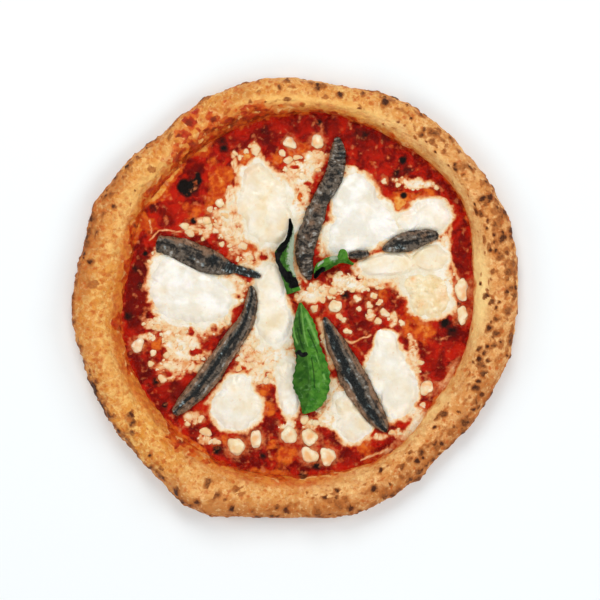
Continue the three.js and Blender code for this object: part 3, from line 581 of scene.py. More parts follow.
def grid_faces(grid):
    """Faces of a grid of points, turned up where its rows run along x and its columns along y."""
    corners = (grid[:-1, :-1], grid[1:, :-1], grid[1:, 1:], grid[:-1, 1:])
    return np.stack([corner.ravel() for corner in corners], 1)


def grid_border(grid):
    """The points round a grid, and for each the next one."""
    border = np.concatenate([grid[:-1, 0], grid[-1, :-1], grid[:0:-1, -1], grid[0, :0:-1]])
    return border, np.roll(border, -1)


def sheet_faces(rows, columns):
    """Faces of a closed sheet: a top grid of points and then a bottom grid, alike."""
    grid = np.arange(rows * columns).reshape(rows, columns)
    top = grid_faces(grid)
    under = rows * columns
    border, onward = grid_border(grid)
    side = np.stack([border, border + under, onward + under, onward], 1)
    return [top, top[:, [0, 3, 2, 1]] + under, side]


# ---------------- shader building

def linear(color):
    """A colour of 0 to 255 as the shaders take it."""
    return (*(((c / 255 + 0.055) / 1.055) ** 2.4 if c > 10 else c / 3295 for c in color), 1)


class Shader:
    """One procedural material. Sizes are in millimetres on the piece."""

    def __init__(self, name):
        self.material = bpy.data.materials.new(name)
        self.material.use_nodes = True
        self.nodes = self.material.node_tree.nodes
        self.links = self.material.node_tree.links
        self.surface = self.nodes["Principled BSDF"]
        self.place = self.nodes.new("ShaderNodeTexCoord").outputs["Object"]

    def put(self, value, socket):
        """Links or sets an input. Three numbers are a colour."""
        if isinstance(value, bpy.types.NodeSocket):
            self.links.new(value, socket)
        else:
            socket.default_value = linear(value) if isinstance(value, tuple) else value

    def node(self, kind, *values, **settings):
        made = self.nodes.new(kind)
        for key, value in settings.items():
            setattr(made, key, value)
        for value, socket in zip(values, made.inputs):
            self.put(value, socket)
        return made

    def attribute(self, name):
        return self.node("ShaderNodeAttribute", attribute_name=name).outputs["Fac"]

    def noise(self, size, detail=3, warp=0.0, place=None):
        scaled = self.node("ShaderNodeVectorMath", place or self.place, operation="SCALE")
        scaled.inputs["Scale"].default_value = 1 / (size * MM)
        made = self.node("ShaderNodeTexNoise", scaled.outputs[0])
        made.inputs["Scale"].default_value = 1
        made.inputs["Detail"].default_value = detail
        made.inputs["Distortion"].default_value = warp
        return made.outputs[0]

    def grid(self, across, along):
        """A place on a surface from two attributes in metres."""
        return self.node("ShaderNodeCombineXYZ", across, along, 0.0).outputs[0]

    def math(self, operation, a, b=0.0):
        return self.node("ShaderNodeMath", a, b, operation=operation).outputs[0]

    def times(self, a, b):
        return self.math("MULTIPLY", a, b)

    def plus(self, a, b):
        return self.math("ADD", a, b)

    def minus(self, a, b):
        return self.math("SUBTRACT", a, b)

    def uneven(self, value, amount, size, detail=3):
        """The value with noise of plus or minus half the amount."""
        return self.plus(value, self.times(self.minus(self.noise(size, detail), 0.5), amount))

    def smooth(self, value, low, high, to_low=0.0, to_high=1.0):
        """From to_low to to_high, as the value goes from low to high."""
        values = (value, low, high, to_low, to_high)
        return self.node("ShaderNodeMapRange", *values, interpolation_type="SMOOTHSTEP").outputs[0]

    def patches(self, size, low, high, most=1.0, detail=3, warp=0.0):
        """From 0 to most, as noise of a size goes from low to high."""
        return self.smooth(self.noise(size, detail, warp), low, high, 0, most)

    def ranging(self, low, high, size, detail):
        """Noise of a size that goes from low to high."""
        return self.smooth(self.noise(size, detail), 0.3, 0.7, low, high)

    def mix(self, share, a, b):
        made = self.node("ShaderNodeMix", data_type="RGBA")
        for value, key in ((share, 0), (a, 6), (b, 7)):
            self.put(value, made.inputs[key])
        return made.outputs[2]

    def mottled(self, size, colors, detail=3, warp=0.0):
        """Two colours in patches."""
        return self.mix(self.patches(size, 0.36, 0.64, 1, detail, warp), *colors)

    def bump(self, height, distance):
        made = self.node("ShaderNodeBump")
        made.inputs["Distance"].default_value = distance * MM
        self.put(height, made.inputs["Height"])
        return made.outputs[0]

    def finish(self, color, roughness, normal, **fixed):
        self.put(color, self.surface.inputs["Base Color"])
        self.put(roughness, self.surface.inputs["Roughness"])
        self.put(normal, self.surface.inputs["Normal"])
        for key, value in fixed.items():
            self.surface.inputs[key.replace("_", " ")].default_value = value
        return self.material


# ---------------- colours, as 0 to 255
# Two together are a pair that the surface is mottled with.

SAUCE_RED = (112, 4, 0), (188, 26, 5)
SAUCE_PULP = 210, 50, 14
SAUCE_DEEP = 76, 3, 0
SAUCE_DEEPEST = 84, 3, 0
SAUCE_ORANGE = (190, 56, 10), (221, 106, 30)
SAUCE_GOLD = (224, 130, 46), (236, 170, 84)
SAUCE_SINGED = 62, 14, 6
SAUCE_BURNT = 18, 11, 7
# Light specks on the sauce, partly seeds and partly painted glints
SAUCE_SEEDS_AND_GLINTS = 228, 132, 96

# Half-melted cheese on the sauce, from a faint tinge to a thick layer
CREAM_TINGE = (202, 84, 34), (212, 124, 76)
CREAM_THIN = (226, 152, 92), (236, 186, 138)
CREAM_FULL = (245, 220, 182), (239, 204, 154)
CREAM_THICK = (245, 238, 222), (234, 221, 192)
CREAM_SPECKS = 226, 144, 76

DOUGH_TAN = (218, 147, 78), (241, 185, 118)
DOUGH_GOLD = (222, 140, 46), (243, 194, 112)
# Pale dough, also used for painted highlights on the swellings and inside the crest
DOUGH_PALE_AND_HIGHLIGHT = (255, 220, 148), (252, 196, 104)
DOUGH_BROWN = 200, 120, 54
DOUGH_TOASTED = 182, 104, 44
DOUGH_FLOUR_AND_HIGHLIGHT = 252, 214, 152
# Flour, also standing in for painted highlights
DOUGH_SPECKS = 206, 112, 38
DOUGH_VEINS = 214, 112, 30
# Painted shade in the pits
DOUGH_PIT_SHADE = 170, 92, 34
DOUGH_FRECKLES = 196, 92, 24
DOUGH_SOAKED = (226, 134, 50), (204, 88, 24)
DOUGH_BLOBS = 240, 186, 118
SPOT_EDGE = 176, 98, 40
SPOT_MIDDLE = 70, 32, 12
UNDERSIDE_FLOURY = (226, 190, 140), (196, 140, 86)
UNDERSIDE_BROWN = 112, 70, 42
UNDERSIDE_BLACK = 48, 34, 26

CHEESE_WHITE = (250, 247, 240), (230, 225, 211)
CHEESE_CREAM = (243, 229, 194), (234, 207, 154)
CHEESE_TINT = 234, 166, 88
CHEESE_THIN = 230, 162, 106
CHEESE_SPECKS = 228, 158, 92
CHEESE_SHADE = 222, 212, 186

# Skins of the anchovies, from a dark tone painted as shade in the hollows, through the skin's own
# middle tone, to a light tone on the ridges, partly the skin's silver and partly painted highlight
SKIN_SILVER = (26, 21, 15), (101, 89, 76), (160, 158, 151)
SKIN_BROWN = (60, 42, 26), (134, 101, 75), (180, 152, 128)
SKIN_BLACK = (2, 7, 6), (60, 70, 69), (148, 164, 168)

# Painted shade for one half of each leaf and painted light for the other half
BASIL_SHADED_HALF = (34, 78, 14), (58, 104, 28)
BASIL_LIT_HALF = (46, 104, 24), (80, 136, 42)
BASIL_VEINS = 122, 166, 84
BASIL_SHEEN = 132, 176, 110
BASIL_SHADE = 22, 54, 14
BASIL_RIBS_AND_HIGHLIGHT = 132, 182, 92
BASIL_CREASE_SHADE = 18, 50, 10
BASIL_FILM = 180, 188, 168
BASIL_CHAR = 3, 3, 3


# ---------------- materials
# Sizes are in millimetres. Pairs such as 0.53, 0.68 are the values of noise, or of one of the
# mesh's attributes, between which a pattern fades in.

UNDERSIDE_HEIGHT = 1.2  # up to which the dough is floury


def sauce_colors(s, oil, dark):
    """Tomato sauce from deep red to bright red, orange and gold where there is oil."""
    red = s.mottled(9, SAUCE_RED, 4, 0.8)
    red = s.mix(s.patches(3.4, 0.5, 0.7, 0.35), red, SAUCE_PULP)
    red = s.mix(s.patches(6, 0.52, 0.72, 0.42, 3, 0.5), red, SAUCE_DEEP)
    red = s.mix(s.smooth(s.uneven(oil, 0.8, 5), -0.2, -1.0, 0, 0.75), red, SAUCE_DEEPEST)
    red = s.mix(s.smooth(s.uneven(oil, 1.5, 5, 4), 0.22, 0.7), red, s.mottled(4, SAUCE_ORANGE))
    red = s.mix(s.smooth(s.uneven(oil, 1.2, 4), 0.95, 1.35), red, s.mottled(3, SAUCE_GOLD))
    burnt = s.uneven(dark, 0.8, 3, 4)
    red = s.mix(s.smooth(burnt, 0.3, 0.7, 0, 0.8), red, SAUCE_SINGED)
    return s.mix(s.smooth(burnt, 0.6, 0.95), red, SAUCE_BURNT)


def bare_dough(s, gold):
    """Baked dough from dry tan to oily gold, floury, browned and freckled in patches, with painted
    highlights.
    """
    color = s.mix(gold, s.mottled(6, DOUGH_TAN, 4), s.mottled(5, DOUGH_GOLD, 5, 0.8))
    color = s.mix(s.patches(7, 0.53, 0.68, 0.4, 4, 0.4), color, DOUGH_BROWN)
    toast = s.uneven(s.attribute("toast"), 1.0, 5, 4)
    color = s.mix(s.smooth(toast, 0.1, 0.9, 0, 0.7), color, DOUGH_TOASTED)
    # Light patches, partly flour and partly painted highlights, more on the tan dough than the gold
    floury = s.times(s.patches(2.6, 0.54, 0.68), s.smooth(gold, 0, 1, 0.55, 0.25))
    color = s.mix(floury, color, DOUGH_FLOUR_AND_HIGHLIGHT)
    color = s.mix(s.patches(1.6, 0.5, 0.68, 0.6, 3, 0.6), color, DOUGH_SPECKS)
    veins = s.smooth(s.math("ABSOLUTE", s.minus(s.noise(5, 3, 0.8), 0.5)), 0.03, 0.0)
    color = s.mix(s.times(veins, s.smooth(gold, 0.2, 1, 0.1, 0.6)), color, DOUGH_VEINS)
    # Darker dough in the pits that dent the skin: painted shade
    color = s.mix(s.times(s.attribute("pit"), 0.4), color, DOUGH_PIT_SHADE)
    freckles = s.uneven(s.attribute("fleck"), 1.0, 1.2)
    color = s.mix(s.smooth(freckles, 0.0, 0.8, 0, 0.8), color, DOUGH_FRECKLES)
    # Pale dough on the slope, and painted highlights on the swellings and just inside the crest
    pale = s.uneven(s.attribute("pale"), 0.7, 5, 4)
    return s.mix(s.smooth(pale, 0.0, 0.9, 0, 0.85), color, s.mix(s.smooth(gold, 0.4, 0.9), *DOUGH_PALE_AND_HIGHLIGHT))


def burnt_dough(s, color):
    """Leopard spots, with a brown edge."""
    burnt = s.uneven(s.attribute("spot"), 0.5, 1.4)
    color = s.mix(s.smooth(burnt, -0.4, 0.12, 0, 0.85), color, SPOT_EDGE)
    return s.mix(s.smooth(burnt, 0.02, 0.5), color, SPOT_MIDDLE)


def soaked_dough(s, color, stain):
    """Orange oil that has soaked into the dough, with blobs of dough that it hasn't reached."""
    oil = s.smooth(s.uneven(s.attribute("soak"), 0.8, 5, 4), 0.0, 0.7, 0, 0.85)
    oil = s.math("MAXIMUM", oil, s.smooth(s.uneven(stain, 0.9, 6), -0.1, 0.6, 0, 0.75))
    color = s.mix(oil, color, s.mottled(5, DOUGH_SOAKED))
    blobs = s.times(s.patches(7, 0.52, 0.6, 1, 3, 0.6), s.smooth(stain, 0.2, 0.8, 0, 0.75))
    return s.mix(blobs, color, DOUGH_BLOBS)


def underside(s, color):
    """Pale, floury dough with scorched patches, on what lies on the oven's floor."""
    floury = s.mottled(16, UNDERSIDE_FLOURY, 4)
    floury = s.mix(s.patches(6, 0.56, 0.68, 1, 5, 0.8), floury, UNDERSIDE_BROWN)
    floury = s.mix(s.patches(5, 0.62, 0.72, 1, 4, 0.4), floury, UNDERSIDE_BLACK)
    height = s.node("ShaderNodeSeparateXYZ", s.place).outputs["Z"]
    return s.mix(s.smooth(height, 0.0, UNDERSIDE_HEIGHT * MM, 1, 0), color, floury)


def dough_material():
    s = Shader("baked_dough")
    gold, stain = s.attribute("gold"), s.attribute("stain")
    color = underside(s, burnt_dough(s, bare_dough(s, gold)))
    color = soaked_dough(s, color, stain)
    wet = s.smooth(s.uneven(stain, 2.6, 6, 4), 0.7, 0.95, 0, 0.92)
    sauce = sauce_colors(s, s.smooth(stain, 2, 0.6, 0.1, 0.7), s.attribute("burnt"))
    roughness = s.minus(s.smooth(gold, 0, 1, 0.62, 0.46), s.times(wet, 0.2))
    grain = s.plus(s.noise(1.0, 4), s.times(s.noise(3.0), 1.6))
    return s.finish(
        s.mix(wet, color, sauce), roughness, s.bump(grain, 0.6),
        Subsurface_Weight=0.05, Subsurface_Scale=0.002, Specular_IOR_Level=0.15,
    )


def sauce_material():
    """Tomato sauce, under half-melted cheese that gets thicker as its share rises."""
    s = Shader("tomato_sauce")
    dark = s.attribute("dark")
    color = sauce_colors(s, s.attribute("oil"), dark)
    share = s.uneven(s.uneven(s.attribute("cream"), 0.5, 2.2), 0.3, 6)
    color = s.mix(s.smooth(share, 0.12, 0.42, 0, 0.9), color, s.mottled(5, CREAM_TINGE))
    color = s.mix(s.smooth(share, 0.34, 0.6), color, s.mottled(4, CREAM_THIN))
    color = s.mix(s.smooth(share, 0.54, 0.92), color, s.mottled(5, CREAM_FULL))
    color = s.mix(s.smooth(share, 0.9, 1.35), color, s.mottled(8, CREAM_THICK))
    specks = s.times(s.patches(2.4, 0.56, 0.68), s.smooth(share, 1.5, 0.8, 0, 0.6))
    color = s.mix(s.times(specks, s.smooth(share, 0.4, 0.7)), color, CREAM_SPECKS)
    # Light pink specks on the bare sauce: partly seeds and pulp, partly painted glints of light
    seeds_and_glints = s.times(s.patches(1.7, 0.68, 0.78, 1, 2), s.smooth(share, 0.4, 0.1, 0, 0.16))
    color = s.mix(s.times(seeds_and_glints, s.smooth(dark, 0.5, 0.1)), color, SAUCE_SEEDS_AND_GLINTS)
    pulp = s.plus(s.noise(1.6, 4), s.times(s.noise(0.7, 2), 0.4))
    return s.finish(
        color, s.ranging(0.1, 0.24, 5, 2), s.bump(pulp, 0.9),
        Subsurface_Weight=0.06, Subsurface_Scale=0.002, Specular_IOR_Level=0.07,
    )


def cheese_material():
    """Melted cheese, from white to cream by its tone, and orange where the sauce has tinged it."""
    s = Shader("cheese")
    tone = s.uneven(s.attribute("tone"), 1.2, 12)
    white, cream = s.mottled(14, CHEESE_WHITE, 3, 0.5), s.mottled(8, CHEESE_CREAM, 3, 0.5)
    color = s.mix(s.smooth(tone, -0.1, 1.0), white, cream)
    color = s.mix(s.times(s.attribute("tint"), 0.8), color, CHEESE_TINT)
    thin = s.uneven(s.attribute("thin"), 0.9, 2.6, 4)
    color = s.mix(s.smooth(thin, 0.35, 1.1, 0, 0.8), color, CHEESE_THIN)
    specks = s.times(s.patches(2.6, 0.64, 0.74, 1, 2), s.smooth(tone, 0, 1, 0.15, 0.45))
    color = s.mix(specks, color, CHEESE_SPECKS)
    color = s.mix(s.patches(9, 0.5, 0.7, 0.3, 3, 0.6), color, CHEESE_SHADE)
    skin = s.plus(s.noise(5), s.times(s.noise(1.4), 0.3))
    return s.finish(
        color, s.ranging(0.24, 0.42, 8, 3), s.bump(skin, 0.35),
        Subsurface_Weight=0.3, Subsurface_Scale=0.002, Subsurface_Radius=(1, 0.75, 0.5),
        Coat_Weight=0.3, Coat_Roughness=0.12,
    )


def shaded_and_highlighted(s, ridge, tones, to_middle, to_highlight):
    """A skin with painted shade in its hollows, and a light tone on its ridges that is partly its own
    silver and partly painted highlight.
    """
    color = s.mix(s.smooth(ridge, *to_middle), *tones[:2])
    return s.mix(s.smooth(ridge, *to_highlight), color, tones[2])


def anchovy_material():
    """Wet skin: silver grey, brown or nearly black."""
    s = Shader("anchovy_skin")
    across, along = s.attribute("across"), s.attribute("along")
    streaks = s.noise(1.3, 3, 0.8, s.grid(across, s.times(along, 0.5)))
    ridge = s.uneven(s.plus(s.times(s.attribute("ridge"), 0.7), s.times(streaks, 0.3)), 0.8, 1.8, 4)
    ridge = s.uneven(ridge, 0.5, 5)
    # The ridge follows the wrinkles and rumples and dips in the back's furrow, so these tones paint shade
    # in the hollows and highlights on the ridges
    silver = shaded_and_highlighted(s, ridge, SKIN_SILVER, (0.28, 0.58), (0.6, 0.84))
    brown = shaded_and_highlighted(s, ridge, SKIN_BROWN, (0.2, 0.54), (0.6, 0.9))
    black = shaded_and_highlighted(s, ridge, SKIN_BLACK, (0.44, 0.66), (0.64, 0.76))
    color = s.mix(s.smooth(s.uneven(s.attribute("brown"), 0.7, 4, 4), 0.25, 0.7), silver, brown)
    # Black skin, and painted shade along the fillets' edges
    color = s.mix(s.smooth(s.uneven(s.attribute("black"), 1.0, 2.8, 4), 0.3, 0.7), color, black)
    relief = s.times(s.plus(streaks, s.noise(1.1)), 1.2)
    return s.finish(
        color, s.ranging(0.16, 0.34, 3, 2), s.bump(relief, 0.8),
        Coat_Weight=0.1, Coat_Roughness=0.1, Specular_IOR_Level=0.25,
    )


def basil_material():
    s = Shader("basil")
    side, vein, char, film = (s.attribute(key) for key in ("side", "vein", "char", "film"))
    # Painted light and shade: the half right of the midrib, as its points run, is darker, the half left of
    # it lighter
    lit_and_shaded_halves = s.smooth(s.uneven(side, 0.4, 6), -0.14, 0.14)
    color = s.mix(lit_and_shaded_halves, s.mottled(5, BASIL_SHADED_HALF), s.mottled(5, BASIL_LIT_HALF))
    color = s.mix(s.times(vein, 0.14), color, BASIL_VEINS)
    color = s.mix(s.patches(3.2, 0.56, 0.72, 0.3, 3, 0.6), color, BASIL_SHEEN)
    color = s.mix(s.patches(2.4, 0.54, 0.7, 0.4), color, BASIL_SHADE)
    fold = s.uneven(s.attribute("fold"), 0.5, 3)
    # The ribs are painted lighter, partly their own colour and partly highlight, and the creases darker as
    # painted shade
    color = s.mix(s.smooth(fold, 0.3, 1, 0, 0.6), color, BASIL_RIBS_AND_HIGHLIGHT)
    color = s.mix(s.smooth(fold, -0.3, -0.9, 0, 0.75), color, BASIL_CREASE_SHADE)
    color = s.mix(s.smooth(s.uneven(film, 1.5, 1.6, 4), 0.4, 0.9, 0, 0.8), color, BASIL_FILM)
    color = s.mix(s.smooth(s.uneven(char, 1.0, 2.6, 4), 0.4, 0.56), color, BASIL_CHAR)
    relief = s.plus(s.noise(2.2), s.times(vein, -0.6))
    return s.finish(
        color, s.ranging(0.28, 0.46, 3, 2), s.bump(relief, 0.4),
        Subsurface_Weight=0.04, Subsurface_Scale=0.001, Specular_IOR_Level=0.1,
    )


# ---------------- crust

RIM_COLUMNS = 900
RIM_ROWS = 96
RIM_ROUND = 2 * math.pi * RIM_RADIUS
INSIDE_SHARES = (0.75, 0.5, 0.25)
# How far apart burnt spots and freckles are
SPOT_SPACING = 5.4
FRECKLE_SPACING = 3.6
EDGE_BAND = 0.07
# Stain values beyond the rim's skin, and the most that sauce creeping up gives
NO_STAIN = -0.5
MOST_CREPT = 1.25


def rim_blisters():
    """The solid rim's blisters, in the same places: angle, share, radius and height."""
    draw = draws(BLISTERS["seed"])
    blisters = []
    for i in range(BLISTERS["count"]):
        at = (i + next(draw)) * 360 / BLISTERS["count"]
        ranges = (BLISTERS[key] for key in ("share", "radius", "height"))
        blisters.append((at, *(low + (high - low) * next(draw) for low, high in ranges)))
    return blisters


def rim_profile(degrees, share):
    """Radius and height of the rim's skin."""
    outer, inner, crest = outer_radius(degrees), inner_radius(degrees), crest_height(degrees)
    widest = crest * EQUATOR
    quarter = math.pi / 2
    lower = np.clip(share / LOWER_SHARE, 0, 1) * quarter
    upper = np.clip((share - LOWER_SHARE) / (UPPER_SHARE - LOWER_SHARE), 0, 1) * quarter
    across = np.sin(np.clip((share - UPPER_SHARE) / (1 - UPPER_SHARE), 0, 1) * quarter)
    fall = np.maximum(1 - across**2, 0) ** (SLOPE + marked(degrees, SLOPE_MARKS))
    radius = outer - FOOT_INSET * (1 - np.sin(lower))
    radius = np.where(share > LOWER_SHARE, outer - CREST_INSET * (1 - np.cos(upper)), radius)
    crest_radius = outer - CREST_INSET
    radius = np.where(share > UPPER_SHARE, crest_radius - (crest_radius - inner) * across, radius)
    height = widest * (1 - np.cos(lower))
    height = np.where(share > LOWER_SHARE, widest + (crest - widest) * np.sin(upper), height)
    height = np.where(share > UPPER_SHARE, BASE_THICKNESS + (crest - BASE_THICKNESS) * fall, height)
    return radius, height


def rim_skin():
    """The rim's smooth skin, from its foot over the crest to its inner edge."""
    turns = np.arange(RIM_COLUMNS) * 360 / RIM_COLUMNS
    share, degrees = np.broadcast_arrays(np.linspace(0, 1, RIM_ROWS)[:, None], turns)
    radius, z = rim_profile(degrees, share)
    x, y = polar(radius, degrees)
    return SimpleNamespace(share=share, degrees=degrees, radius=radius, x=x, y=y, z=z)


def pale_slope(rim):
    """Pale, floury dough on the slope down to the sauce."""
    return smooth(rim.share, 0.5, 0.76) * marked(rim.degrees, PALE_MARKS)


def spot_amount(rim):
    """How burnt the rim is: most along its outermost edge and in clusters."""
    edge = bell(rim.share - LOWER_SHARE - EDGE_BAND, EDGE_BAND)
    amount = 0.12 + edge * marked(rim.degrees, EDGE_MARKS)
    for at, spread, middle, width, extra in SPOT_CLUSTERS:
        cluster = bell(turn_from(at, rim.degrees), spread) * bell(rim.share - middle, width)
        amount = amount + extra * cluster
    amount = amount * band(rim.share, 0.02, 0.12, 0.72, 0.92)
    return amount - 0.25 * smooth(pale_slope(rim), 0.2, 0.7)


def skin_grains(around, across, spacing, seed, smallest):
    """Grains on the rim's skin, as many as fit round it."""
    cells = round(RIM_ROUND / spacing)
    return grains(around, across, RIM_ROUND / cells, seed, wrap=cells, smallest=smallest)


def spot_fields(rim):
    """Burnt spots and lighter freckles; round ones lie on a map of the skin, round and across."""
    x, y, z, share = rim.x, rim.y, rim.z, rim.share
    amount = spot_amount(rim)
    wobble = 1.2 * noise(x, y, z, 3, 28)
    around, across = rim.degrees / 360 * RIM_ROUND + wobble, share * RIM_GIRTH - wobble

    leopard, own = skin_grains(around, across, SPOT_SPACING, 26, 0.25)
    kept = np.maximum(0.08 + 0.75 * amount, 0.02) * smooth(share, 0.8, 0.55)
    darkest = 0.06 + 0.5 * (1 - own / np.maximum(kept, 0.01))
    leopard = np.where(own < kept, np.minimum(0.9 * leopard - 0.1, darkest), -1)
    patches = noise(0.4 * x, 0.4 * y, across, 3.6, 23) + 0.5 * noise(x, y, z, 2.4, 24)
    patches = patches - 0.96 + 0.75 * amount - 0.8 * smooth(share, 0.66, 0.8)

    freckle, own = skin_grains(around, across, FRECKLE_SPACING, 21, 0.16)
    golden = smooth(marked(rim.degrees, GOLD_MARKS), 0.3, 0.9)
    freckle = np.where(own < 0.4 + 0.2 * golden + 0.4 * noise(x, y, z, 30, 25), freckle, -1)
    return np.maximum(leopard, patches), freckle


def rim_push(rim, spot, swell, pits):
    """How far blisters, swellings, burnt spots, crinkles and pits push the skin out."""
    x, y, z = rim.x, rim.y, rim.z
    push = swell + 0.8 * noise(x, y, z, 22, 34) + 0.8 * smooth(spot, -0.1, 0.4)
    push = push + 0.3 - 0.6 * np.abs(noise(x, y, z, 4.5, 38)) - 0.4 * pits + 0.25 * noise(x, y, z, 1.9, 36)
    for at, middle, radius, height in rim_blisters():
        across = np.radians(turn_from(at, rim.degrees)) * RIM_RADIUS
        along = (rim.share - middle) * RIM_GIRTH
        push = push + height * bell(np.hypot(across, along), radius)
    return push * np.clip(rim.share / 0.1, 0, 1) * np.clip((1 - rim.share) / 0.1, 0, 1)


def pushed_out(rim, push):
    """Radius and height of the skin, pushed away from a line inside the rim."""
    outward = rim.radius - outer_radius(rim.degrees) + CREST_INSET
    upward = rim.z - crest_height(rim.degrees) * EQUATOR
    length = np.hypot(outward, upward)
    return rim.radius + outward / length * push, np.maximum(rim.z + upward / length * push, 0)


def crust_points(radius, degrees, height):
    """The underside, the rim's rings and the dough under the sauce."""
    rings = np.stack([*polar(radius, degrees), height], -1)
    under = [rings[0] * (s, s, 0) for s in INSIDE_SHARES[::-1]]
    inside = [rings[-1] * (s, s, 1) for s in INSIDE_SHARES]
    return np.concatenate([[(0, 0, 0)], *under, *rings, *inside, [(0, 0, BASE_THICKNESS)]])


def over_crust(values, below=0, within=0):
    """Values on the rim, carried on over the underside and under the sauce."""
    flat = len(INSIDE_SHARES) * RIM_COLUMNS + 1
    return np.concatenate([np.full(flat, below), values.ravel(), np.full(flat, within)])


def sauce_stain(rim, radius):
    """Sauce on the rim: crept up from its inner edge, or splashed."""
    reach = STAIN_REACH + marked(rim.degrees, STAIN_MARKS)
    wander = (1.4 + 0.7 * reach) * layered(rim.x, rim.y, rim.z, 9, 2, 37)
    crept = (reach + wander - radius + inner_radius(rim.degrees)) / (2 + 0.3 * reach) + 0.5
    crept = np.where(rim.share > UPPER_SHARE, np.minimum(crept, MOST_CREPT), NO_STAIN)
    drip_x = rim.x + 3 * layered(rim.x, rim.y, rim.z, 6, 3, 43)
    drip_y = rim.y + 3 * layered(rim.x, rim.y, rim.z, 6, 3, 44)
    splashed = 2.5 * spots_field(drip_x, drip_y, SPLASHES) - 0.7
    return np.clip(np.maximum(crept, splashed), NO_STAIN, 1.6)


def soaked_oil(rim, radius):
    """Orange oil on the slope above the sauce."""
    soak = smooth(radius - inner_radius(rim.degrees), 11, 3) * marked(rim.degrees, SOAK_MARKS)
    return np.where(rim.share > UPPER_SHARE, np.clip(soak, 0, 1), 0)


def pale_dough(rim, swell):
    """Pale dough on the slope, and painted highlights on the swellings and just inside the crest."""
    swell_highlight = 0.3 * smooth(swell, -0.2, 0.9) * band(rim.share, 0.3, 0.6, 0.8, 0.95)
    glow = band(rim.share, 0.4, 0.52, 0.7, 0.84) * marked(rim.degrees, GLOW_MARKS)
    return np.clip(swell_highlight + pale_slope(rim) + glow, 0, 1)


def add_crust():
    rim = rim_skin()
    spot, freckle = spot_fields(rim)
    swell = layered(rim.x, rim.y, rim.z, 10, 3, 31)
    pits = smooth(noise(rim.x, rim.y, rim.z, 2.6, 35), 0.3, 0.7)
    radius, height = pushed_out(rim, rim_push(rim, spot, swell, pits))
    gold = marked(rim.degrees, GOLD_MARKS) + 0.4 * smooth(rim.share, 0.64, 0.82)
    toast = 0.7 + 0.5 * noise(rim.x, rim.y, rim.z, 16, 39) + marked(rim.degrees, TOAST_MARKS)
    rows = RIM_ROWS + 2 * len(INSIDE_SHARES)
    make_piece(
        "crust_baked", crust_points(radius, rim.degrees, height), ring_faces(rows, RIM_COLUMNS),
        dough_material(), "crust", ("crust",),
        spot=over_crust(spot, -1, -1),
        fleck=over_crust(freckle * smooth(rim.share, 0.1, 0.3), -1, -1),
        stain=over_crust(sauce_stain(rim, radius), NO_STAIN, 1),
        soak=over_crust(soaked_oil(rim, radius)),
        gold=over_crust(np.clip(gold, 0, 1), 0, 1),
        pale=over_crust(pale_dough(rim, swell)),
        toast=over_crust(toast * smooth(rim.share, 0.6, 0.3)),
        pit=over_crust(pits * smooth(rim.share, 0.2, 0.4)),
        burnt=over_crust(spots_field(rim.x, rim.y, BURNT)),
    )


# ---------------- sauce

SAUCE_CELLS = 300
SAUCE_REACH = 2.6  # past the rim's inner foot, so that it meets the wall
SLOPE_REACH = 3  # and this much further where the rim's slope is steeper
# Sizes of the curds of half-melted cheese
CURD_SIZES = (4.8, 2.8)
# Within this distance of its edge the sauce has little cheese on it
EDGE_WIDTH = 3
EDGE_CREAM = 0.3

FILLET_SAMPLES = np.concatenate([curve_at(line, np.linspace(0, 1, 41)) for line in FILLETS.values()])
FAR = 99.0
POOL_DEPTH = 14  # of a pool's field, from 1 to 0


def disc_grid(cells):
    """A square grid bent into a round disc of radius 1: its points' radius and angle."""
    line = np.linspace(-1, 1, cells + 1)
    a, b = np.meshgrid(line, line)
    r = np.maximum(np.abs(a), np.abs(b))
    wide = np.abs(a) > np.abs(b)
    with np.errstate(divide="ignore", invalid="ignore"):
        turn = np.where(wide, b / a * (math.pi / 4), math.pi / 2 - a / b * (math.pi / 4))
    turn = np.where(r == 0, 0, turn)
    flip = np.where(wide, a < 0, b < 0)
    return r, np.degrees(turn + math.pi * flip) % 360


def fillet_distance(x, y):
    """From points to the edge of the nearest fillet."""
    near = np.full(np.shape(x), FAR)
    for sx, sy, width in FILLET_SAMPLES:
        near = np.minimum(near, np.hypot(x - sx, y - sy) - width / 2)
    return near


def melt_field(x, y):
    """Above 0 where cheese has melted over the sauce, with a ragged border."""
    ragged = 0.3 * layered(x, y, 0, 9, 4, 52)
    return np.minimum(pool_field(x, y, MELT), -pool_field(x, y, BARE)) + ragged


def pool_distance(x, y):
    """Millimetres into the nearest pool, roughly; below 0 outside the pools."""
    return POOL_DEPTH * np.max([pool_field(x, y, ellipses) for ellipses in POOLS], axis=0)


def cheese_halos(x, y, crumbs):
    """How much the cheese of crumbs and lumps tinges the sauce beside them."""
    halos = [(cx, cy, 1.3 * size, 0.5) for cx, cy, size in crumbs]
    halos += [(cx, cy, 0.7 * (width + depth), 0.65) for cx, cy, width, depth in LUMPS]
    return spots_field(x, y, halos)


def sauce_sheet():
    """The sauce's points, and the patterns that its relief and its colour share."""
    r, degrees = disc_grid(SAUCE_CELLS)
    reach = inner_radius(degrees) + SAUCE_REACH + SLOPE_REACH * marked(degrees, SLOPE_MARKS)
    x, y = polar(r * reach, degrees)
    warped_x, warp_y = x + 0.9 * noise(x, y, 0, 3, 53), 0.9 * noise(x, y, 7, 3, 54)
    large, small = CURD_SIZES
    return SimpleNamespace(
        x=x, y=y, degrees=degrees, inward=reach - r * reach - SAUCE_REACH,
        melt=melt_field(x, y), beside=pool_distance(x, y),
        large=grains(warped_x, y + warp_y, large, 46),
        small=grains(warped_x, y - warp_y, small, 47),
        streaks=lines_field(warped_x, y + warp_y, STREAKS),
    )


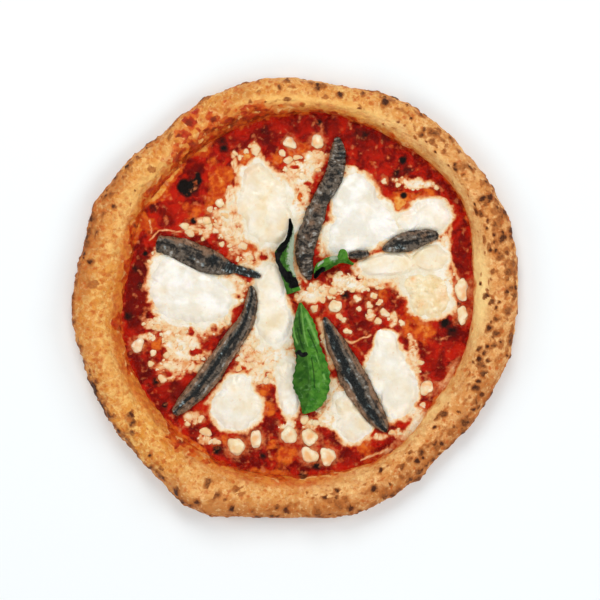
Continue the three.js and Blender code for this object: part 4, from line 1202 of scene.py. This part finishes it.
def sauce_cream(sheet, crumbs):
    """How thickly half-melted cheese covers the sauce."""
    x, y, melt = sheet.x, sheet.y, sheet.melt
    curd = smooth(np.maximum(sheet.large[0], sheet.small[0]), -0.25, 0.45)
    veins = smooth(np.abs(noise(x, y, 0, 7, 58)), 0.1, 0) * smooth(melt, 0, 0.4)
    whey = smooth(pool_field(x, y, WHEY), -0.4, 0.4) * smooth(melt, -0.1, 0.3)
    cream = 0.03 + smooth(melt, -0.4, 0.45) * (0.42 + 0.36 * curd) + 0.4 * layered(x, y, 0, 5, 3, 57)
    cream = cream + 0.38 * whey - 0.4 * veins
    spilled = sheet.beside + 2.4 * smooth(melt, -0.3, 0.3) + 2.2 * layered(x, y, 0, 6, 3, 49)
    for other in (0.9 + spilled / 3.5, cheese_halos(x, y, crumbs), 0.7 * sheet.streaks):
        cream = np.maximum(cream, other)
    cream = np.where(sheet.inward < EDGE_WIDTH, np.minimum(cream, EDGE_CREAM), cream)
    shore = smooth(sheet.inward + 3 * noise(x, y, 0, 6, 59), 7, 3)
    return np.maximum(cream, 0.9 * shore * marked(sheet.degrees, SHORE_MARKS))


def sauce_height(sheet, cream):
    """Pulp in the bare sauce, curds in the cheese, and a rise up to the pools."""
    x, y = sheet.x, sheet.y
    share = smooth(cream, 0.25, 0.9)
    clear = smooth(fillet_distance(x, y), -0.5, 2)
    pulp = 0.5 * layered(x, y, 0, 9, 3, 41) + 0.35 * np.abs(noise(x, y, 0, 3.2, 45))
    (large, large_own), (small, small_own) = sheet.large, sheet.small
    curds = smooth(large, -0.3, 0.8) * (0.2 + large_own) + 0.6 * smooth(small, -0.3, 0.8) * small_own
    curds = (0.2 + 0.65 * curds + 0.25 * layered(x, y, 0, 5, 2, 48)) * clear
    rise = 0.9 * smooth(sheet.beside, -5, 1) * clear
    return sauce_top(x, y) + pulp * (1 - share) + np.maximum(curds * share, rise)


def oily_brim(sheet):
    """Orange oil along the sauce's edge, wider where sauce has crept up the rim."""
    crept = marked(sheet.degrees, STAIN_MARKS)
    return np.minimum(0.5 + 0.1 * crept, 0.9) * smooth(sheet.inward / (3 + 0.6 * crept), 1, 0)


def closed_disc(top):
    """Points and faces of a grid of points, closed by a wall and a flat floor below it."""
    floor = BASE_THICKNESS + GAP
    grid = np.arange(top.shape[0] * top.shape[1]).reshape(top.shape[:2]).T
    border, onward = grid_border(grid)
    low = top.reshape(-1, 3)[border] * (1, 1, 0) + (0, 0, floor)
    points = np.concatenate([top.reshape(-1, 3), low, [(0, 0, floor)]])
    below = grid.size + np.arange(len(border))
    ahead = np.roll(below, -1)
    centre = np.full(len(border), len(points) - 1)
    wall = np.stack([border, below, ahead, onward], 1)
    return points, [grid_faces(grid), wall, np.stack([centre, ahead, below], 1)]


def add_sauce(crumbs):
    sheet = sauce_sheet()
    cream = sauce_cream(sheet, crumbs)
    x, y = sheet.x, sheet.y
    points, faces = closed_disc(np.stack([x, y, sauce_height(sheet, cream)], -1))

    def whole(values):
        return np.append(values.ravel(), np.zeros(len(points) - values.size))

    make_piece(
        "tomato_sauce_spread", points, faces, sauce_material(), "sauce", ("tomato_sauce",),
        oil=whole(spots_field(x, y, OIL) - spots_field(x, y, DEEP) + oily_brim(sheet)),
        dark=whole(spots_field(x, y, BURNT)),
        cream=whole(np.clip(cream, -0.5, 2)),
    )


# ---------------- crumbled cheese

# A lump's outline: (share of its width, share of its height)
LUMP_OUTLINE = (
    (0.85, 0.0), (0.97, 0.14), (1, 0.32), (0.95, 0.58), (0.82, 0.8), (0.55, 0.94), (0.28, 0.985),
)
LUMP_SIDES = 44
LUMP_LEVELS = 20
CRUMB_OUTLINE = ((1, 0.0), (1, 0.42), (0.85, 0.72), (0.5, 0.94))
CRUMB_SIDES = 14
CRUMB_FLATNESS = 0.65
CRUMB_SHAPES = 50
GOLDEN_RATIO = 0.618
FINE_CRUMBS = {
    "tries": 5000, "count": 270, "sizes": (1.0, 2.4), "seed": 12, "from_edge": 5,
    "melt": 0.1, "melt_spread": 0.16,
}


def lump_points(place, half_width, half_depth, height, outline, sides, unevenness, seed):
    """A rounded lump: its first point, its rings and its last point."""
    x, y, foot = place
    turn = np.arange(sides) / sides * 2 * math.pi
    around = 1 + 0.1 * np.sin(2 * turn + x) + 0.06 * np.sin(3 * turn + y)
    rings = []
    for spread, share in outline:
        across = half_width * spread * around * np.cos(turn)
        along = half_depth * spread * around * np.sin(turn)
        bulge = layered(x + across, y + along, share * height, half_width * 1.3, 2, seed)
        bulge = 1 + unevenness * bulge
        rings.append(np.stack([x + across * bulge, y + along * bulge, foot + share * height * bulge], -1))
    return np.concatenate([[place], *rings, [(x, y, foot + height)]])


def add_lumps(material):
    outline = curve_at(LUMP_OUTLINE, np.linspace(0, 1, LUMP_LEVELS))
    for i, (x, y, half_width, half_depth) in enumerate(LUMPS):
        height = min(half_width, half_depth) * LUMP_HEIGHT + GAP
        foot = float(sauce_top(x, y))
        points = lump_points(
            (x, y, foot), half_width, half_depth, height, outline, LUMP_SIDES, 0.3, 60 + i
        )
        up = (points[:, 2] - foot) / height
        make_piece(
            f"cheese_lump_{i + 1}_curd", points, ring_faces(LUMP_LEVELS, LUMP_SIDES), material,
            "cheese", (f"cheese_lump_{i + 1}",), tone=np.full(len(points), 0.8),
            thin=1.2 * smooth(up, 0.7, 0.0),
            tint=smooth(up, 0.6, 1) * smooth(noise(points[:, 0], points[:, 1], 0, 5, 71), -0.3, 0.5),
        )


def on_fillet(x, y, clearance):
    away = np.hypot(FILLET_SAMPLES[:, 0] - x, FILLET_SAMPLES[:, 1] - y)
    return bool(np.any(away < FILLET_SAMPLES[:, 2] / 2 + clearance))


def on_pool(x, y, clearance):
    return any(pool_field(x, y, ellipses) > -clearance / POOL_SLIMMEST for ellipses in POOLS)


def on_lump(x, y, clearance):
    return any(math.hypot(cx - x, cy - y) < max(w, d) + clearance for cx, cy, w, d in LUMPS)


def crumb_places():
    """The crumbs that the solid sauce carries, in the same places: (x, y, size)."""
    draw = draws(CRUMBS["seed"])
    places = []
    for _ in range(CRUMBS["tries"]):
        if len(places) == CRUMBS["count"]:
            break
        area = CRUMB_AREAS[int(next(draw) * len(CRUMB_AREAS))]
        turn, out = next(draw) * 2 * math.pi, math.sqrt(next(draw))
        x, y = area[0] + area[2] * out * math.cos(turn), area[1] + area[3] * out * math.sin(turn)
        large, small = CRUMBS["sizes"]
        size = large + (small - large) * len(places) / CRUMBS["count"]
        clear = size * 1.2 + 0.8
        outside = math.hypot(x, y) > inner_radius(angle_of(x, y)) - SAUCE_EDGE - 6
        crowded = any(math.hypot(px - x, py - y) < ps + size + 1 for px, py, ps in places)
        if outside or crowded or on_pool(x, y, clear) or on_fillet(x, y, clear) or on_lump(x, y, clear):
            continue
        places.append((x, y, size))
    return places


def fine_crumb_tries():
    """Places where a smaller crumb may lie: near the ragged borders of half-melted cheese."""
    tries = FINE_CRUMBS["tries"]
    small, large = FINE_CRUMBS["sizes"]
    random = np.random.default_rng(FINE_CRUMBS["seed"])
    turn = random.uniform(0, 360, tries)
    radius = np.sqrt(random.uniform(0, 1, tries)) * (inner_radius(turn) - FINE_CRUMBS["from_edge"])
    x, y = polar(radius, turn)
    size = small + (large - small) * random.uniform(0, 1, tries) ** 2
    chance = bell(melt_field(x, y) - FINE_CRUMBS["melt"], FINE_CRUMBS["melt_spread"])
    wanted = (chance > random.uniform(0.1, 1, tries)) & (pool_distance(x, y) < 0)
    return np.stack([x, y, size], 1)[wanted]


def all_crumbs():
    """The sauce's own crumbs and then the smaller ones, none of them on another."""
    places = crumb_places()
    for x, y, size in fine_crumb_tries():
        if len(places) == FINE_CRUMBS["count"]:
            break
        others = np.array(places)
        crowded = np.any(np.hypot(others[:, 0] - x, others[:, 1] - y) < (others[:, 2] + size) / 2)
        if crowded or on_fillet(x, y, size / 2) or on_lump(x, y, size / 2):
            continue
        places.append((x, y, size))
    return places


def add_crumbs(crumbs, material):
    points, faces, thin, tint = [], [], [], []
    for i, (x, y, size) in enumerate(crumbs):
        height = size * CRUMB_FLATNESS * CRUMBS["height"] + CRUMBS["sunk"]
        foot = float(sauce_top(x, y)) - CRUMBS["sunk"]
        crumb = lump_points(
            (x, y, foot), size, size * 0.9, height, CRUMB_OUTLINE, CRUMB_SIDES, 0.55,
            300 + i % CRUMB_SHAPES,
        )
        up = (crumb[:, 2] - foot) / height
        points.append(crumb)
        faces.append([f + i * len(crumb) for f in ring_faces(len(CRUMB_OUTLINE), CRUMB_SIDES)])
        thin.append(1.3 * smooth(up, 1.0, 0.2))
        tint.append(0.2 + 0.8 * smooth(up, 0.6, 1) * ((i * GOLDEN_RATIO) % 1) ** 1.5)
    thin = np.concatenate(thin)
    make_piece(
        "crumbled_cheese", np.concatenate(points), [np.concatenate(kind) for kind in zip(*faces)],
        material, "cheese", thin=thin, tint=np.concatenate(tint), tone=np.full(len(thin), 0.9),
    )


# ---------------- mozzarella

POOL_COLUMNS = 176
# Rings of a pool, as shares of the way out: two of its floor and then those of its top
POOL_SHARES = np.concatenate([[0.5, 0.98], np.sin(np.linspace(math.pi / 2, 0.03, 42)) ** 0.9])
FLOOR_RINGS = 2
POOL_SUNK = 0.7
SMOOTH_SKIN = 0.12
GRANULAR_SKIN = 1.4
GRANULAR_POOL = 8
POOL_STAINS = ((70, 64, 6.5, 1), (99, 2, 5, 0.5), (84, -4, 3, 0.5), (78.5, 13, 1.8, 1), (-33, 86, 4, 0.4))


def pool_reach(ellipses, middle, turn):
    """How far a pool reaches from its middle, at angles in radians."""
    step = 0.25
    out = np.arange(POOL_REACH, step, -step)[None, :]
    x, y = middle[0] + out * np.cos(turn)[:, None], middle[1] + out * np.sin(turn)[:, None]
    inside = pool_field(x, y, ellipses) > 0
    return out[0][np.argmax(inside, axis=1)]


def pool_height(x, y, border, beside, granular):
    """Top of the melted cheese: swollen, creased and grainy, and thin under a fillet."""
    grain, own = grains(x, y, 3.2, 84)
    crease = np.maximum(1 - 5 * np.abs(noise(x, y, 0, 11, 83)), 0) * smooth(noise(x, y, 9, 20, 85), 0, 0.3)
    swell = 0.6 * noise(x, y, 0, 15, 81) + 0.4 * layered(x, y, 0, 7, 3, 82) - 0.25 * crease
    skin = (GRANULAR_SKIN if granular else SMOOTH_SKIN) * smooth(grain, -0.2, 0.8) * own
    lip = 0.4 * bell(beside - 1.8, 1.2)
    thickness = (CHEESE_THICKNESS - 0.2 + swell + skin + lip) * smooth(border, 0, 7) ** 0.7
    thickness = thickness * (0.25 + 0.75 * smooth(beside, -1, 1))
    return sauce_top(x, y) + GAP + thickness - 0.9 * (1 - smooth(border, 0, 1))


def add_pool(number, ellipses, material):
    turn = np.arange(POOL_COLUMNS) / POOL_COLUMNS * 2 * math.pi
    middle = np.mean([e[:2] for e in ellipses], axis=0)
    reach = pool_reach(ellipses, middle, turn)
    edge_x, edge_y = middle[0] + reach * np.cos(turn), middle[1] + reach * np.sin(turn)
    reach = reach + 2.3 * layered(edge_x, edge_y, number, 9, 3, 80)
    shares = POOL_SHARES[:, None]
    x, y = middle[0] + shares * reach * np.cos(turn), middle[1] + shares * reach * np.sin(turn)
    border, beside = (1 - shares) * reach, fillet_distance(x, y)
    z = pool_height(x, y, border, beside, number == GRANULAR_POOL)
    z[:FLOOR_RINGS] = sauce_top(x, y)[:FLOOR_RINGS] - POOL_SUNK
    first = [(*middle, sauce_top(*middle) - POOL_SUNK)]
    last = [(*middle, z[-1].mean())]
    points = np.concatenate([first, np.stack([x, y, z], -1).reshape(-1, 3), last])
    thin = np.maximum(0.6 * smooth(border, 2.4, 0.2), 0.9 * smooth(beside, 0.8, -0.6))
    make_piece(
        f"mozzarella_{number + 1}_melted", points, ring_faces(len(POOL_SHARES), POOL_COLUMNS),
        material, "cheese", (f"mozzarella_{number + 1}",),
        thin=np.concatenate([[1], thin.ravel(), [0]]),
        tint=np.concatenate([[0], spots_field(x, y, POOL_STAINS).ravel(), [0]]),
        tone=np.full(len(points), POOL_TONES[number]),
    )


# ---------------- anchovies

FILLET_STATIONS = 170
FILLET_SIDES = 76
SHALLOW_GROOVE = 0.05
WRINKLE_STEP = 1.6
EDGE_SINE = 0.2  # the sides below this are the fillet's upright edge


def fillet_frame(name, line):
    """The fillet's points seen from above, and where each lies along and across it."""
    t = np.linspace(0, 1, FILLET_STATIONS)
    spine, left = curve_at(line, t), left_of(line, t)
    x, y, width = (spine[:, k][:, None] for k in range(3))
    turn = (np.arange(FILLET_SIDES) / FILLET_SIDES * 2 * math.pi)[None, :]
    side = np.sign(np.cos(turn)) * np.abs(np.cos(turn)) ** 0.8
    seed = sum(map(ord, name))
    length = length_of(spine)
    along, across = t[:, None] * length, side * width / 2
    flutter = 0.1 * noise(along, side * 2, 0, 8, seed) + 0.08 * noise(along, side * 3, 0, 2.6, seed + 1)
    out = across * (1 + flutter)
    return SimpleNamespace(
        spine=spine, left=left, length=length, seed=seed, side=side, sine=np.sin(turn),
        x=x + left[:, :1] * out, y=y + left[:, 1:] * out, along=along, across=across,
        thick=FILLET_THICKNESS * np.sqrt(width / max(p[2] for p in line)),
        wander=side + 0.25 * noise(along, 0 * side, 0, 14, seed + 2),
    )


def fillet_texture(fillet, wrinkled):
    """Wrinkles across the fillet or ridges along it, and rumples."""
    along, across, seed = fillet.along, fillet.across, fillet.seed
    warp = 1.6 * layered(along, across, 0, 6, 3, seed + 3) + 0.05 * across**2
    wrinkles = np.sin((along + warp) / WRINKLE_STEP * 2 * math.pi)
    wrinkles = wrinkles * smooth(noise(along, across, 3, 6, seed + 4), -0.4, 0.4)
    wrinkles = 0.35 * wrinkles + layered(along + warp / 2, across * 0.3, 0, 1.9, 2, seed + 7)
    ridges = layered(along * 0.22, across, 0, 1.8, 2, seed + 5)
    texture = wrinkled * wrinkles + (1 - wrinkled) * ridges
    return texture, layered(along, across, 0, 5, 3, seed + 6)


def fillet_points(fillet, relief):
    """Rings round the fillet from one tip to the other. The relief is a share of its thickness."""
    sine = np.abs(fillet.sine)
    share = np.where(fillet.sine > 0, relief, 0)
    share = np.where(sine < EDGE_SINE, np.maximum(share, FILLET_EDGE * (1 - sine / EDGE_SINE)), share)
    z = sauce_top(fillet.x, fillet.y) + GAP + fillet.thick * share
    ends = []
    for k, onward in ((0, -FILLET_TIP), (-1, FILLET_TIP)):
        x = fillet.spine[k, 0] + fillet.left[k, 1] * onward
        y = fillet.spine[k, 1] - fillet.left[k, 0] * onward
        ends.append([(x, y, sauce_top(x, y) + GAP + 1)])
    return np.concatenate([ends[0], np.stack([fillet.x, fillet.y, z], -1).reshape(-1, 3), ends[1]])


def add_fillet(name, line, material):
    brown_left, brown_right, black_middle, black_shift, black_width, wrinkled = FILLET_SKINS[name]
    fillet = fillet_frame(name, line)
    x, y, wander = fillet.x, fillet.y, fillet.wander
    texture, rumples = fillet_texture(fillet, wrinkled)
    furrow = bell(wander, GROOVE_SPREAD)
    rounded = np.abs(fillet.sine) ** 0.7 * (1 + 0.1 * texture + 0.14 * rumples)
    depth = GROOVE_SHARE if name in GROOVED else SHALLOW_GROOVE
    brown = brown_left * smooth(wander, 0.4, 0.75) + brown_right * smooth(-wander, 0.4, 0.75)
    # Black patches, and painted shade along each fillet's outermost edges where the skin turns down
    black = np.maximum(spots_field(x, y, BLACK_PATCHES), 0.5 * smooth(np.abs(fillet.side), 0.88, 1))
    core = black_middle * bell(wander - black_shift, black_width)

    def whole(values, first=0, last=0):
        return np.concatenate([[first], (values + 0 * x).ravel(), [last]])

    make_piece(
        f"{name}_fillet", fillet_points(fillet, rounded - depth * furrow),
        ring_faces(FILLET_STATIONS, FILLET_SIDES), material, "anchovy", (name,),
        across=whole(fillet.across * MM),
        along=whole(fillet.along * MM, 0, fillet.length * MM),
        # ridge rises with the wrinkles and rumples and falls in the furrow; the skin's colour follows it
        # as painted shade and highlight
        ridge=whole(0.5 + 0.55 * texture + 0.25 * rumples - 0.2 * furrow, 0.4, 0.4),
        brown=whole(np.maximum(brown, spots_field(x, y, BROWN_PATCHES))),
        black=whole(np.maximum(black, core), 0.5, 0.5),
    )


# ---------------- basil

LEAF_ROWS = 130
LEAF_COLUMNS = 56
LEAF_SLIMMED = 0.8
RIB_WIDTH = 0.7
VEIN_STEP = 7.5  # along the midrib
VEIN_SLANT = 0.75
VEIN_WIDTH = 0.07  # as a share of the step


def leaf_relief(x, y, t, side, reach, length):
    """The midrib and side veins, the blisters between them, and the folds."""
    rib = bell(reach, RIB_WIDTH)
    phase = (t * length - VEIN_SLANT * np.abs(reach)) / VEIN_STEP
    vein = 0.6 * bell(phase % 1 - 0.5, VEIN_WIDTH) * smooth(np.abs(side), 1.0, 0.75)
    blister = np.abs(np.sin(phase * math.pi)) * smooth(np.abs(reach), 0, 2) * smooth(np.abs(side), 1, 0.6)
    fold = lines_field(x, y, RIBS) - lines_field(x, y, CREASES)
    relief = 0.35 * (blister - rib) - 0.15 * vein + 0.4 * fold + 0.25 * noise(x, y, 0, 6, 91)
    return relief, np.maximum(vein, rib * smooth(t, 1, 0.5)), fold


def add_leaf(name, cup, arch, line, material):
    t = np.linspace(0, 1, LEAF_ROWS)
    spine, left = curve_at(line, t), left_of(line, t)
    length = length_of(spine)
    x, y, left_width, right_width = (spine[:, k][:, None] for k in range(4))
    t, side = t[:, None], np.linspace(-1, 1, LEAF_COLUMNS)[None, :]
    reach = side * np.where(side > 0, left_width, right_width)
    notched = reach * (1 + 0.035 * np.sin(t * length * 1.3) * np.abs(side) ** 3)
    x, y = x + left[:, :1] * notched, y + left[:, 1:] * notched
    bend = np.sin(math.pi * t)
    ripple = LEAF_RIPPLE * (1 + np.sin(9 * t + 2.2 * side)) * np.abs(side)
    relief, vein, fold = leaf_relief(x, y, t, side, reach, length)
    height = LEAF_REST + LEAF_THICKNESS + cup * side**2 * bend + arch * bend**2 + ripple + relief
    top = np.stack([x, y, height], -1).reshape(-1, 3)
    bottom = top - (0, 0, LEAF_THICKNESS * LEAF_SLIMMED)

    def both(values):
        return np.tile((values + 0 * x).ravel(), 2)

    make_piece(
        f"{name}_leaf", np.concatenate([top, bottom]), sheet_faces(LEAF_ROWS, LEAF_COLUMNS), material,
        "basil", (name,), side=both(side), vein=both(vein), fold=both(fold),
        char=both(lines_field(x, y, SCORCHED)), film=both(lines_field(x, y, FILMED)),
    )


# ---------------- stage, light and camera

PHOTO_CENTRE = (2.85, -1.2)  # what the middle of the photograph looks at
PHOTO_WIDTH = 402.6  # what its width spans, at the rim's widest line
CAMERA_HEIGHT = 1800
SENSOR = 36
FLOOR_HALF = 1.5
FLOOR_COLOR = (0.9, 0.94, 0.955, 1)
FLOOR_ROUGHNESS = 0.9
# Lamps in metres and watts: name, place, size, power
LAMPS = (
    ("key", (-0.1, 0.8, 1.0), 0.6, 5.6),
    ("left", (-1.0, 0.1, 0.9), 0.6, 3.2),
    ("right", (1.0, 0.1, 0.9), 0.6, 3.9),
    ("front", (0.1, -0.9, 0.9), 0.8, 3.6),
)
AMBIENT = 0.46


def add_stage():
    h = FLOOR_HALF
    mesh = bpy.data.meshes.new("floor")
    mesh.from_pydata([(-h, -h, 0), (h, -h, 0), (h, h, 0), (-h, h, 0)], [], [(0, 1, 2, 3)])
    material = bpy.data.materials.new("floor")
    material.use_nodes = True
    surface = material.node_tree.nodes["Principled BSDF"]
    surface.inputs["Base Color"].default_value = FLOOR_COLOR
    surface.inputs["Roughness"].default_value = FLOOR_ROUGHNESS
    mesh.materials.append(material)
    floor = bpy.data.objects.new("floor", mesh)
    bpy.context.scene.collection.objects.link(floor)


def add_lamp(name, place, size, power):
    """A square lamp that shines at the middle of the pizza."""
    data = bpy.data.lights.new(name, "AREA")
    data.size = size
    data.energy = power
    lamp = bpy.data.objects.new(name, data)
    lamp.location = place
    lamp.rotation_mode = "QUATERNION"
    lamp.rotation_quaternion = (-lamp.location).to_track_quat("-Z", "Y")
    bpy.context.scene.collection.objects.link(lamp)


def add_camera():
    """A distant camera straight above, because the photograph shows no perspective."""
    data = bpy.data.cameras.new("camera")
    data.sensor_width = SENSOR
    data.lens = SENSOR * CAMERA_HEIGHT / PHOTO_WIDTH
    camera = bpy.data.objects.new("camera", data)
    x, y = (at - middle for at, middle in zip(PHOTO_CENTRE, MIDDLE))
    camera.location = (x * MM, y * MM, (CAMERA_HEIGHT + RIM_HEIGHT * EQUATOR) * MM)
    bpy.context.scene.collection.objects.link(camera)
    bpy.context.scene.camera = camera


def add_world():
    world = bpy.data.worlds.new("studio")
    world.use_nodes = True
    background = world.node_tree.nodes["Background"]
    background.inputs["Color"].default_value = (1, 1, 1, 1)
    background.inputs["Strength"].default_value = AMBIENT
    bpy.context.scene.world = world


# ---------------- assembly

crumb_list = all_crumbs()
add_crust()
add_sauce(crumb_list)

cheese = cheese_material()
for pool_number, pool_ellipses in enumerate(POOLS):
    add_pool(pool_number, pool_ellipses, cheese)
add_lumps(cheese)
add_crumbs(crumb_list, cheese)

fillet_skin = anchovy_material()
for fillet_name, fillet_line in FILLETS.items():
    add_fillet(fillet_name, fillet_line, fillet_skin)

leaf_material = basil_material()
for leaf_name, (leaf_cup, leaf_arch, leaf_line) in LEAVES.items():
    add_leaf(leaf_name, leaf_cup, leaf_arch, leaf_line, leaf_material)

add_stage()
add_world()
for lamp_values in LAMPS:
    add_lamp(*lamp_values)
add_camera()
bpy.context.scene.view_settings.view_transform = "Standard"
